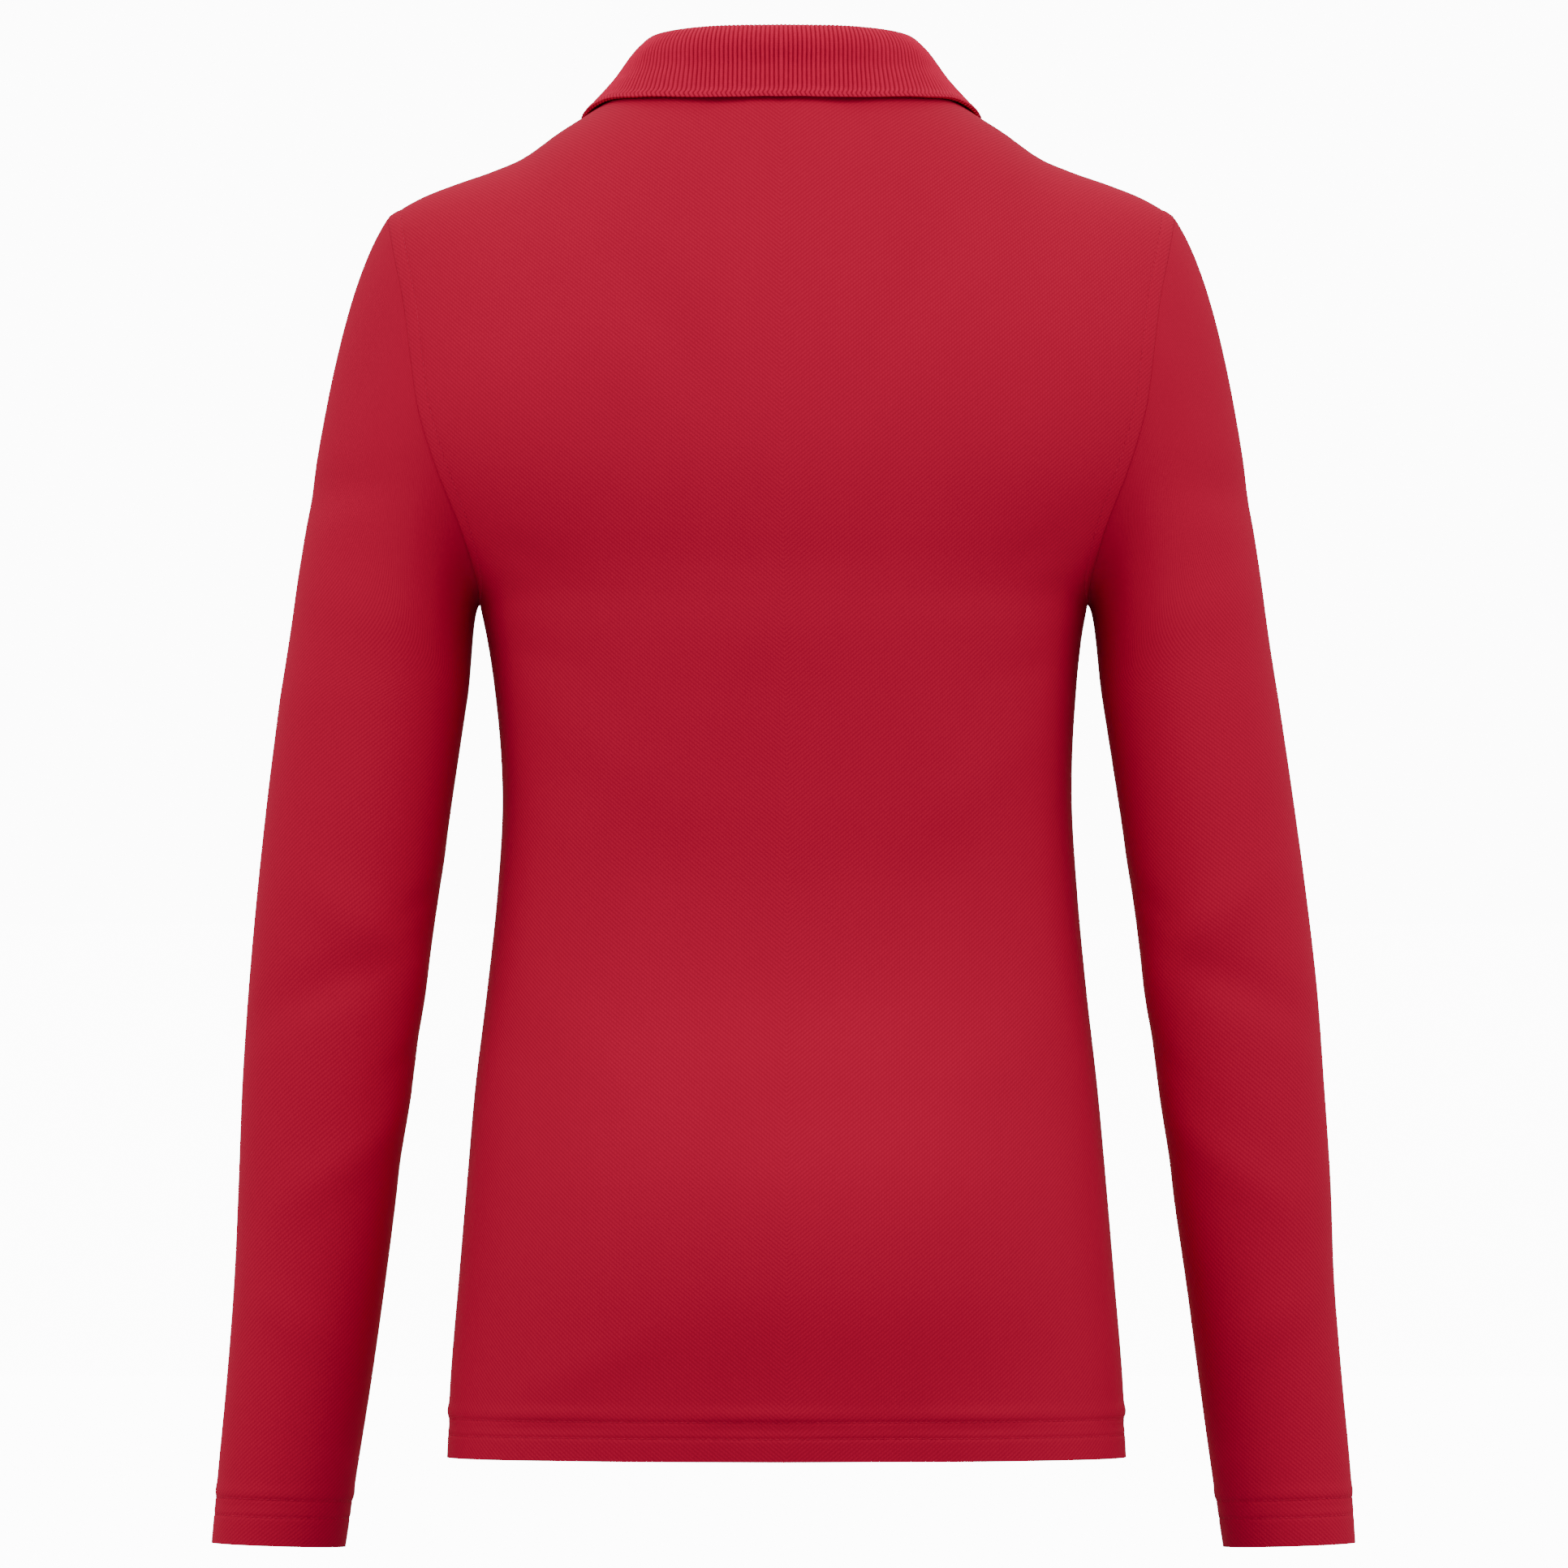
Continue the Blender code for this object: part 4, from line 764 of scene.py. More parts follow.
def make_sleeve(which, mirror, material):
    """A sleeve's shell from under the panel's edge to the cuff, and its stitched rows. mirror is 1
    on the wearer's left and -1 on the right."""
    places = np.linspace(0.0, 1.0, CAP_ROWS + 1)[:-1]**CAP_CLOSER
    heights = (SLEEVE_END + CUFF_STOPS)[::-1]
    grid = np.array(cap_rings(which, mirror, places) + [tube_ring(which, z) for z in heights])
    normals = grid_normals(grid, ring=True)
    if normals[CAP_ROWS + 20, 0, 0] < 0:
        normals = -normals
    turn = 360.0 * np.arange(SLEEVE_COLUMNS) / SLEEVE_COLUMNS
    folds = fold_height(SLEEVE_FOLDS, turn, grid[..., 2] / CM, DEGREES_FOR_1_CM)
    from_seam = np.concatenate([[0, 0, 0], (7 * places**(1 / CAP_CLOSER) - 1) / 3, 1 + 0 * heights])
    up = np.concatenate([np.full(3 + CAP_ROWS, 0.5), heights - SLEEVE_END])[:, None]
    fade = np.clip((up - CUFF_HEM_DEPTH) / FOLD_FADE_CUFF, 0, 1) * np.clip(from_seam, 0, 1)[:, None]
    half = SLEEVE_COLUMNS // 2
    around = lengths_along(grid, axis=1)
    lift = folds * fade + turned_edge(CUFF, around - around[:, half:half + 1], up)
    cloth = CLOTH * (2.0 - soft_step(up, CUFF_HEM_DEPTH + 1 * MM, CUFF_HEM_DEPTH + 1.8 * MM))

    outer = grid + lift[..., None] * normals
    inner = outer - (cloth + 0 * lift)[..., None] * normals
    outer, inner = outer * (mirror, 1.0, 1.0), inner * (mirror, 1.0, 1.0)

    # The cloth's own places: round from the underarm seam, and up from the cuff.
    shifted = np.roll(grid, -half, axis=1)
    u = lengths_along(np.concatenate([shifted, shifted[:, :1]], axis=1), axis=1)
    v = lengths_along(shifted[::-1], axis=0)[::-1]
    uv = np.stack([u * mirror, np.concatenate([v, v[:, :1]], axis=1)], axis=-1)
    outer, inner = np.roll(outer, -half, axis=1), np.roll(inner, -half, axis=1)
    piece = cloth_object("sleeve_%s_cloth" % which, outer, inner, uv, material, ring=True,
                         flip=mirror > 0)
    first_tube = 3 + CAP_ROWS
    stitched = []
    for row in CUFF_ROWS:
        ring = outer[first_tube + np.argmin(np.abs(heights - SLEEVE_END - row))]
        stitched.append(np.concatenate([ring, ring[:1]]))
    return piece, stitched


# ---- the collar -----------------------------------------------------------------------------

RIB_COLUMNS = 4             # columns of the shell for one rib
COLLAR_SHARES = np.concatenate([np.linspace(0.0, 0.94, 35), np.linspace(0.94, 1.0, 13)[1:]])


def neck_edge():
    """Half the neckline, from centre back to centre front, with the panels' normals along it.
    x is measured away from the middle of the body."""
    lines, normals = [], []
    for side in ("back", "front"):
        out, height = top_edge(side, np.linspace(0.5, 1.0, 60))
        out, height = np.append(out, COLLAR_END), np.append(height, height[-1])
        line = torso_point(out, height, side)
        line[:, 0] = out
        lines.append(line)
        depth = np.maximum(torso_depth(out, height, side), SEAM_GAP)
        normals.append(torso_normal(out, depth, height, side))
    line = np.concatenate([lines[0][::-1], lines[1]])
    normal = np.concatenate([normals[0][::-1], normals[1]])
    along = lengths_along(line)
    at = np.linspace(0.0, along[-1], 401)
    pick = [np.interp(at, along, column) for column in np.concatenate([line, normal], axis=1).T]
    return np.stack(pick, axis=1)


def clear_of_body(outer, inner):
    """Moves a row of the fall out where its inner face would come too near the panels."""
    move = np.zeros((len(inner), 3))
    for side, here in (("back", inner[:, 1] > 0), ("front", inner[:, 1] <= 0)):
        if not here.any():
            continue
        out, behind, height = inner[here, 0], np.abs(inner[here, 1]), inner[here, 2]
        slope = torso_slope(out, behind, height, side)
        steep = np.linalg.norm(slope, axis=1)
        distance = torso_level(out, behind, height, side) / steep
        clear = FALL_CLEAR + 0.0 * out
        if side == "front":
            beside_placket = np.clip((PLACKET_WIDTH - out) / CM, 0.0, 1.0)
            clear = clear + (FALL_CLEAR_PLACKET - FALL_CLEAR) * beside_placket
        push = np.maximum(0.0, clear - distance)
        move[here] = push[:, None] * slope / steep[:, None] * facing(side)
    return outer + move, inner + move


def collar_sections(columns):
    """Middle of the collar's strip at even stations round the neck, from the neck seam up the
    stand, over the fold and down the fall, and the outward direction there."""
    place = np.linspace(-1.0, 1.0, columns + 1)
    share = np.abs(place)
    side = np.where(place < 0, 1.0, -1.0)
    edge_line = neck_edge()
    at = np.linspace(0.0, 1.0, len(edge_line))
    seam, way = [np.stack([np.interp(share, at, edge_line[:, k + first]) for k in range(3)], axis=1)
                 for first in (0, 3)]
    way = unit(way)
    around = unit(np.stack([np.interp(share, at, np.gradient(edge_line[:, k])) for k in range(3)],
                           axis=1))
    into_neck = unit(np.cross(way, around))
    into_neck *= np.sign(into_neck[:, 2:3])
    seam = seam + COLLAR_FOOT * into_neck

    fold = np.stack([read(COLLAR, "fold_" + k, share) for k in ("out", "behind", "up")], axis=1)
    edge = np.stack([read(COLLAR, "edge_" + k, share) for k in ("out", "behind", "up")], axis=1)
    outward = unit((edge - fold) * (1.0, 1.0, 0.0))
    upward = np.array([0.0, 0.0, 1.0])
    stand = unit(fold - seam)
    stand_out = unit(np.cross(around, stand))
    stand_out *= np.sign(np.sum(stand_out * outward, axis=1, keepdims=True))
    fall = unit(edge - fold)
    fall_out = unit(np.cross(around, fall))
    fall_out *= np.sign(np.sum(fall_out * (outward + upward), axis=1, keepdims=True))

    # Near centre front the stand's top leans straight back, so that the two ends stay apart.
    aside = 1 - np.clip((share - UPRIGHT_FROM) / UPRIGHT_OVER, 0.0, 1.0)
    backward = unit(outward * np.stack([aside, 1 + 0 * aside, 1 + 0 * aside], axis=1))
    top_in = fold + FOLD_INNER[0] * backward + FOLD_INNER[1] * upward
    top_out = fold + FOLD_OUTER[0] * outward + FOLD_OUTER[1] * upward
    under = fold + FOLD_UNDER[0] * outward + FOLD_UNDER[1] * upward
    bow = read(FALL, "bow", share)[:, None]
    first = [seam - COLLAR_WALL * stand_out,
             (seam + top_in - COLLAR_WALL * stand_out) / 2,
             top_in,
             fold,
             top_out,
             fold + FALL_MIDDLE * (edge - fold) + bow * fall_out,
             edge]
    second = [seam,
              (seam + top_in + COLLAR_WALL * stand_out) / 2,
              top_in + COLLAR_WALL * stand_out,
              under,
              top_out - COLLAR_WALL * unit(fall_out + outward),
              first[5] - COLLAR_WALL * fall_out,
              edge - COLLAR_WALL * fall_out]
    for k in (4, 5, 6):
        first[k], second[k] = clear_of_body(first[k], second[k])
    first, second = np.array(first), np.array(second)
    for skin in (first, second):
        skin[..., 0] *= side
        skin[..., 0] += read(TORSO, "centre", skin[..., 2])
    return (first + second) / 2


def smooth_rows(stations, at):
    """A smooth sheet through a few lines of points, with rows at shares of its width."""
    along = lengths_along(stations, axis=0)
    knots = (along / along[-1:]).mean(axis=1)
    slopes = np.gradient(stations, knots, axis=0)
    i = np.clip(np.searchsorted(knots, at, side="right") - 1, 0, len(knots) - 2)
    span = (knots[i + 1] - knots[i])[:, None, None]
    t = (at - knots[i])[:, None, None] / span
    return cubic(t, stations[i], span * slopes[i], stations[i + 1], span * slopes[i + 1])


def make_collar(material):
    """The flat-knit strip: ribs on both faces, and a closed welt along its outer edge, where
    each rib bends aside and back and the cloth is thicker."""
    columns = RIBS * RIB_COLUMNS
    grid = smooth_rows(collar_sections(columns), COLLAR_SHARES)
    normals = grid_normals(grid, ring=False)
    if normals[-8, columns // 2, 1] < 0:
        normals = -normals
    to_edge = lengths_along(grid[::-1], axis=0)[::-1]
    welt = 1 - soft_step(to_edge, WELT_DEPTH - WELT_BLEND, WELT_DEPTH + WELT_BLEND)
    bend = 0.5 * np.clip(1 - np.abs(2 * to_edge / WELT_DEPTH - 1), 0.0, 1.0)
    place = np.linspace(0.0, RIBS, columns + 1) + bend
    v = lengths_along(grid, axis=0)
    fold_row = np.argmax(grid[..., 2], axis=0)[None]
    on_fold = groove(v - np.take_along_axis(v, fold_row, axis=0), FOLD_REACH)
    wave = RIB_WAVE * (1 - WELT_FLATTER * welt) * (1 - FOLD_FLATTER * on_fold)
    wave = wave * np.cos(2 * math.pi * place)
    rounded = np.sqrt(np.clip(to_edge / (1.2 * MM), 0.05, 1.0))
    half = RIB_CLOTH / 2 + WELT_FULLER * welt * rounded + relief("welt line", to_edge - WELT_DEPTH)
    outer = grid + (half + wave)[..., None] * normals
    inner = grid - (half - wave)[..., None] * normals
    uv = np.stack([RIB_PITCH * place, v], axis=-1)
    inner_uv = np.stack([RIB_PITCH * (place + 0.5), v], axis=-1)
    return cloth_object("collar_rib", outer, inner, uv, material, flip=True, inner_uv=inner_uv)


# ---- the placket and its buttons ------------------------------------------------------------

PLACKET_STITCH = 2.2 * MM   # the upper strip is stitched this far in from its edges
PLACKET_STOPS = stops((0, 1.8, 0.45), (1.8, 4.0, 0.55), (4.0, 16.5, 1.5))


def slit_heights():
    """Heights of the front panel's rows beside the slit, from its lower end to the neckline."""
    _, height, _, _ = panel_grid("front")
    line = height[:, height.shape[1] // 2]
    return line[line > PLACKET_BOTTOM]


def make_placket(name, half_width, rows, low_lift, material):
    """A folded strip on the torso surface down the centre front, stitched along its edges."""
    inwards = np.minimum(PLACKET_STOPS, half_width)
    half = half_width - inwards[inwards < half_width]
    across = np.concatenate([half, [0.0], -half[::-1]])
    out = across[None, :] + 0.0 * rows[:, None]
    height = rows[:, None] + 0.0 * out
    from_side = half_width - np.abs(out)
    from_end = height - rows[0]
    inward = np.minimum(from_side, from_end)
    lift = low_lift + PLACKET_CLOTH + relief("placket edge", inward)
    lift = lift + relief("placket topstitch", inward - PLACKET_STITCH)
    outer = torso_point(out, height, "front", lift)
    inner = torso_point(out, height, "front", low_lift + 0.0 * out)
    uv = np.stack([out, height], axis=-1)
    piece = cloth_object(name, outer, inner, uv, material, flip=True)
    column = np.argmin(np.abs(from_side[0] - PLACKET_STITCH))
    row = np.argmin(np.abs(from_end[:, 0] - PLACKET_STITCH))
    left, right = outer[row:, column], outer[row:, -1 - column]
    end = outer[row, column:outer.shape[1] - column]
    return piece, [np.concatenate([left[::-1], end[1:-1], right])]


def make_plackets(material):
    rows = slit_heights()
    under = rows.copy()
    under[0] += PLACKET_INSET
    under[-1] -= PLACKET_INSET
    lower, _ = make_placket("placket_under_strip", PLACKET_WIDTH / 2 - PLACKET_INSET, under,
                            PLACKET_LIFT - SEAM_GAP - PLACKET_CLOTH, material)
    below = rows[0] - PLACKET_FOOT + stops((0, 1.8, 0.45), (1.8, 4.0, 0.55), (4.0, 7.9, 1.3))
    upper = np.concatenate([below, rows])
    upper[-1] -= PLACKET_TOP
    strip, stitched = make_placket("placket_upper_strip", PLACKET_WIDTH / 2 + PLACKET_OVERLAP, upper,
                                   PLACKET_LIFT, material)
    return lower, strip, stitched


def placket_frame(height):
    """A point on the upper strip's middle, its outward direction and the way up along it."""
    middle, at = np.array([0.0]), np.array([height])
    lift = np.array([PLACKET_LIFT + PLACKET_CLOTH])
    place = torso_point(middle, at, "front", lift)[0]
    out = torso_normal(middle, torso_depth(middle, at, "front"), at, "front")[0]
    side = np.array([1.0, 0.0, 0.0])
    return place, side, np.cross(out, side), out


def add_turned(mesh, profile, steps):
    """Turns a profile of (radius, height) pairs round the vertical into a bmesh."""
    rings = []
    for radius, height in profile:
        if radius == 0:
            rings.append([mesh.verts.new((0, 0, height))])
            continue
        rings.append([mesh.verts.new((radius * math.cos(a), radius * math.sin(a), height))
                      for a in (2 * math.pi * k / steps for k in range(steps))])
    for low, high in zip(rings, rings[1:]):
        for k in range(steps):
            ring = [low[k % len(low)], low[(k + 1) % len(low)],
                    high[(k + 1) % len(high)], high[k % len(high)]]
            corners = []
            for vert in ring:
                if vert not in corners:
                    corners.append(vert)
            mesh.faces.new(corners)


def make_button(number, height, material, thread):
    """A four-hole button with a raised rim and a dished middle, sewn on with crossed thread."""
    profile = [(BUTTON_RADIUS * out, BUTTON_THICKNESS * up) for out, up in BUTTON_PROFILE]
    bm = bmesh.new()
    add_turned(bm, profile, BUTTON_STEPS)
    bmesh.ops.recalc_face_normals(bm, faces=bm.faces)
    name = "button_%d_moulded" % number
    body = placed(name, from_bmesh(name, bm))

    bm = bmesh.new()
    for x in (-HOLE_SPREAD, HOLE_SPREAD):
        for y in (-HOLE_SPREAD, HOLE_SPREAD):
            ring = bmesh.ops.create_cone(bm, cap_ends=True, segments=24, radius1=HOLE_RADIUS,
                                         radius2=HOLE_RADIUS, depth=4 * BUTTON_THICKNESS)
            bmesh.ops.translate(bm, verts=ring["verts"], vec=(x, y, 0))
    cutter = placed("holes", from_bmesh("holes", bm))
    cut = body.modifiers.new("holes", "BOOLEAN")
    cut.object = cutter
    cut.solver = "EXACT"
    made = evaluated_mesh(body)
    body.modifiers.clear()
    body.data = made
    bpy.data.objects.remove(cutter)

    place, side, up, out = placket_frame(height)
    turn = np.stack([side, up, out], axis=1)
    seat = place + SEAM_GAP * out
    points = np.array([v.co for v in made.vertices])
    points = points @ turn.T + seat
    made.vertices.foreach_set("co", points.ravel())
    made.materials.clear()
    made.materials.append(material)
    made.shade_smooth()
    made.set_sharp_from_angle(angle=math.radians(38))

    # Two crossed bundles of thread through the holes.
    lines = []
    for a, b in (((-1, -1), (1, 1)), ((-1, 1), (1, -1))):
        for shift in (-CROSS_SPACING, 0.0, CROSS_SPACING):
            aside = np.array([b[1] - a[1], a[0] - b[0]]) / math.sqrt(8) * shift
            span = np.linspace(-1.0, 1.0, 9)[:, None]
            flat = span * HOLE_SPREAD * np.array(b) + aside
            sunk = 1.6 * MM * (np.abs(span[:, 0]) > 0.95)
            bow = 0.62 * BUTTON_THICKNESS + 0.35 * MM * (1 - span[:, 0]**4) - sunk
            local = np.column_stack([flat, bow])
            lines.append(local @ turn.T + seat)
    return body, tubes("button_%d_thread" % number, lines, CROSS_THREAD, thread)


def tubes(name, lines, radius, material):
    """Round threads along lines, as one mesh."""
    maker = drawn_lines(name, lines)
    maker.data.bevel_depth = radius
    maker.data.bevel_resolution = 1
    maker.data.use_fill_caps = True
    return made_mesh(maker, material)


# ---- sewing ---------------------------------------------------------------------------------

STITCH_PITCH = 2.9 * MM
STITCH_LENGTH = 2.5 * MM
STITCH_LEAN = 0.10          # the stitches lean at random by up to this angle, in radians
THREAD_WIDTH = 0.46 * MM
HOLE_HALF = 7.2 * MM        # half the length of a buttonhole's slit
HOLE_EDGE = 0.95 * MM       # its overcast edge lies this far from the slit
HOLE_BAR = 0.55 * MM        # half the length of one overcast thread
HOLE_PITCH = 0.5 * MM
HOLE_THREAD = 0.17 * MM
HOLE_RISE = (-0.10 * MM, 0.16 * MM, -0.10 * MM)     # a thread's ends and middle over the cloth


def stitch_tree():
    """Stitches at an even pitch along curves: each a soft drop of thread along the seam."""
    tree = bpy.data.node_groups.new("stitch_rows", "GeometryNodeTree")
    face = tree.interface
    face.new_socket("Rows", in_out="INPUT", socket_type="NodeSocketGeometry")
    for name in ("Pitch", "Length", "Thickness", "Lean"):
        face.new_socket(name, in_out="INPUT", socket_type="NodeSocketFloat")
    face.new_socket("Thread", in_out="INPUT", socket_type="NodeSocketMaterial")
    face.new_socket("Stitches", in_out="OUTPUT", socket_type="NodeSocketGeometry")
    add, link = tree.nodes.new, tree.links.new
    start, end = add("NodeGroupInput"), add("NodeGroupOutput")

    walk = add("GeometryNodeResampleCurve")
    walk.mode = "LENGTH"
    link(start.outputs["Rows"], walk.inputs["Curve"])
    link(start.outputs["Pitch"], walk.inputs["Length"])

    drop = add("GeometryNodeMeshUVSphere")
    drop.inputs["Segments"].default_value = 6
    drop.inputs["Rings"].default_value = 5
    drop.inputs["Radius"].default_value = 0.5
    size = add("ShaderNodeCombineXYZ")
    link(start.outputs["Thickness"], size.inputs["X"])
    link(start.outputs["Thickness"], size.inputs["Y"])
    link(start.outputs["Length"], size.inputs["Z"])
    shaped = add("GeometryNodeTransform")
    link(drop.outputs["Mesh"], shaped.inputs["Geometry"])
    link(size.outputs["Vector"], shaped.inputs["Scale"])

    tangent = add("GeometryNodeInputTangent")
    align = add("FunctionNodeAlignRotationToVector")
    align.axis = "Z"
    link(tangent.outputs["Tangent"], align.inputs["Vector"])
    lean = add("FunctionNodeRandomValue")
    lean.data_type = "FLOAT_VECTOR"
    lean.inputs["Seed"].default_value = 7
    low, high = add("ShaderNodeVectorMath"), add("ShaderNodeVectorMath")
    low.operation = high.operation = "SCALE"
    low.inputs[0].default_value = (-1, -1, 0)
    high.inputs[0].default_value = (1, 1, 0)
    for side in (low, high):
        link(start.outputs["Lean"], side.inputs["Scale"])
    link(low.outputs["Vector"], lean.inputs["Min"])
    link(high.outputs["Vector"], lean.inputs["Max"])
    nudge = add("FunctionNodeEulerToRotation")
    link(lean.outputs["Value"], nudge.inputs["Euler"])
    turn = add("FunctionNodeRotateRotation")
    turn.rotation_space = "LOCAL"
    link(align.outputs["Rotation"], turn.inputs["Rotation"])
    link(nudge.outputs["Rotation"], turn.inputs["Rotate By"])

    place = add("GeometryNodeInstanceOnPoints")
    link(walk.outputs["Curve"], place.inputs["Points"])
    link(shaped.outputs["Geometry"], place.inputs["Instance"])
    link(turn.outputs["Rotation"], place.inputs["Rotation"])
    real = add("GeometryNodeRealizeInstances")
    link(place.outputs["Instances"], real.inputs["Geometry"])
    paint = add("GeometryNodeSetMaterial")
    link(real.outputs["Geometry"], paint.inputs["Geometry"])
    link(start.outputs["Thread"], paint.inputs["Material"])
    link(paint.outputs["Geometry"], end.inputs["Stitches"])
    return tree


def sew(name, lines, tree, thread):
    """Rows of stitches along lines of points on the cloth."""
    maker = drawn_lines(name, lines)
    modifier = maker.modifiers.new("stitches", "NODES")
    modifier.node_group = tree
    values = {"Pitch": STITCH_PITCH, "Length": STITCH_LENGTH, "Thickness": THREAD_WIDTH,
              "Lean": STITCH_LEAN, "Thread": thread}
    for item in tree.interface.items_tree:
        if item.in_out == "INPUT" and item.name in values:
            modifier[item.identifier] = values[item.name]
    return made_mesh(maker, thread)


def buttonhole_lines(height):
    """Short bars round a buttonhole's slit, each one thread of its overcast edge. They run up one
    side and round the end, and then down the other side in the same way, turned by half."""
    place, side, up, out = placket_frame(height)
    half_round = 2 * HOLE_HALF + math.pi * HOLE_EDGE
    lines = []
    for at in np.arange(0.0, 2 * half_round, HOLE_PITCH):
        sign = 1 if at < half_round else -1
        at = at % half_round
        turn = max(0.0, at - 2 * HOLE_HALF) / HOLE_EDGE
        way = sign * np.array([math.cos(turn), math.sin(turn)])
        foot = np.array([0.0, sign * (min(at, 2 * HOLE_HALF) - HOLE_HALF)])
        ends = [foot + (HOLE_EDGE + step * HOLE_BAR) * way for step in (-1, 0, 1)]
        lines.append(np.array([place + a * side + b * up + rise * out
                               for (a, b), rise in zip(ends, HOLE_RISE)]))
    return lines


# ---- materials ------------------------------------------------------------------------------

def node_group(name, inputs, outputs):
    tree = bpy.data.node_groups.new(name, "ShaderNodeTree")
    for socket, kind in inputs:
        tree.interface.new_socket(socket, in_out="INPUT", socket_type=kind)
    for socket, kind in outputs:
        tree.interface.new_socket(socket, in_out="OUTPUT", socket_type=kind)
    return tree, tree.nodes.new("NodeGroupInput"), tree.nodes.new("NodeGroupOutput")


def math_node(tree, operation, a, b=None, clamp=False):
    """A Math node on two values, each a socket or a number."""
    node = tree.nodes.new("ShaderNodeMath")
    node.operation = operation
    node.use_clamp = clamp
    for k, value in enumerate((a, b)):
        if value is None:
            continue
        if isinstance(value, (int, float)):
            node.inputs[k].default_value = value
        else:
            tree.links.new(value, node.inputs[k])
    return node.outputs[0]


def pique_group():
    """The pique's raised dots in staggered rows, from the cloth's own places in metres. Lean makes
    the rows that rise towards the middle of the piece stand out more than those that cross them.
    Hollow is painted shade: how much darker the hollows between the dots are coloured."""
    tree, start, end = node_group(
        "pique_knit",
        [("Place", "NodeSocketVector"), ("Wale", "NodeSocketFloat"), ("Course", "NodeSocketFloat"),
         ("Lean", "NodeSocketFloat")],
        [("Height", "NodeSocketFloat"), ("HollowShade", "NodeSocketFloat")])
    split = tree.nodes.new("ShaderNodeSeparateXYZ")
    tree.links.new(start.outputs["Place"], split.inputs[0])
    from_middle = math_node(tree, "ABSOLUTE", split.outputs["X"])
    across = math_node(tree, "DIVIDE", from_middle, start.outputs["Wale"])
    up = math_node(tree, "DIVIDE", split.outputs["Y"], start.outputs["Course"])
    across = math_node(tree, "MULTIPLY", across, 2 * math.pi)
    up = math_node(tree, "MULTIPLY", up, 2 * math.pi)
    rising = math_node(tree, "COSINE", math_node(tree, "ADD", across, up))
    falling = math_node(tree, "COSINE", math_node(tree, "SUBTRACT", across, up))
    wales = math_node(tree, "COSINE", math_node(tree, "MULTIPLY", across, 2.0))
    rising_share = math_node(tree, "ADD", 0.5, start.outputs["Lean"])
    falling_share = math_node(tree, "SUBTRACT", 0.5, start.outputs["Lean"])
    dots = math_node(tree, "ADD", math_node(tree, "MULTIPLY", rising, rising_share),
                     math_node(tree, "MULTIPLY", falling, falling_share))
    dots = math_node(tree, "ADD", dots, math_node(tree, "MULTIPLY", wales, 0.25))
    height = math_node(tree, "MULTIPLY_ADD", dots, 0.4)
    height.node.inputs[2].default_value = 0.5
    tree.links.new(height, end.inputs["Height"])
    # Painted shade, darkest where the knit lies lowest.
    hollow_shade = math_node(tree, "SUBTRACT", 1.0, height, clamp=True)
    hollow_shade = math_node(tree, "POWER", hollow_shade, 1.5)
    tree.links.new(hollow_shade, end.inputs["HollowShade"])
    return tree


def drift_group():
    """Soft unevenness of the dye and the handle of the cloth, over centimetres."""
    tree, start, end = node_group(
        "dye_drift",
        [("Place", "NodeSocketVector"), ("Size", "NodeSocketFloat")],
        [("Drift", "NodeSocketFloat")])
    size = math_node(tree, "DIVIDE", 1.0, start.outputs["Size"])
    noise = tree.nodes.new("ShaderNodeTexNoise")
    noise.inputs["Detail"].default_value = 3.0
    tree.links.new(start.outputs["Place"], noise.inputs["Vector"])
    tree.links.new(size, noise.inputs["Scale"])
    tree.links.new(noise.outputs["Fac"], end.inputs["Drift"])
    return tree


def start_material(name, roughness, specular, sheen=0.0):
    material = bpy.data.materials.new(name)
    material.use_nodes = True
    tree = material.node_tree
    shader = tree.nodes["Principled BSDF"]
    shader.inputs["Roughness"].default_value = roughness
    shader.inputs["Specular IOR Level"].default_value = specular
    shader.inputs["Sheen Weight"].default_value = sheen
    shader.inputs["Sheen Roughness"].default_value = 0.45
    shader.inputs["Sheen Tint"].default_value = SHEEN_RED
    return material, tree, shader


def place_group(tree, group, place, **values):
    """A group's node, with its Place from a socket and its other inputs from numbers."""
    node = tree.nodes.new("ShaderNodeGroup")
    node.node_tree = group
    tree.links.new(place, node.inputs["Place"])
    for name, value in values.items():
        node.inputs[name].default_value = value
    return node


def cloth_place(tree):
    """The cloth's own places, across the wales and up the courses."""
    place = tree.nodes.new("ShaderNodeUVMap")
    place.uv_map = "cloth"
    return place.outputs["UV"]


def unevenness(tree, drift, size):
    """The drift at a size in metres, over the object itself."""
    spots = tree.nodes.new("ShaderNodeTexCoord")
    return place_group(tree, drift, spots.outputs["Object"], Size=size).outputs["Drift"]


def mixed_colour(tree, share, low, high):
    """A colour between two, by a share from a socket."""
    mix = tree.nodes.new("ShaderNodeMix")
    mix.data_type = "RGBA"
    tree.links.new(share, mix.inputs[0])
    mix.inputs[6].default_value = (*low, 1.0)
    mix.inputs[7].default_value = (*high, 1.0)
    return mix.outputs[2]


def bumped(tree, shader, height, distance):
    bump = tree.nodes.new("ShaderNodeBump")
    bump.inputs["Distance"].default_value = distance
    tree.links.new(height, bump.inputs["Height"])
    tree.links.new(bump.outputs["Normal"], shader.inputs["Normal"])


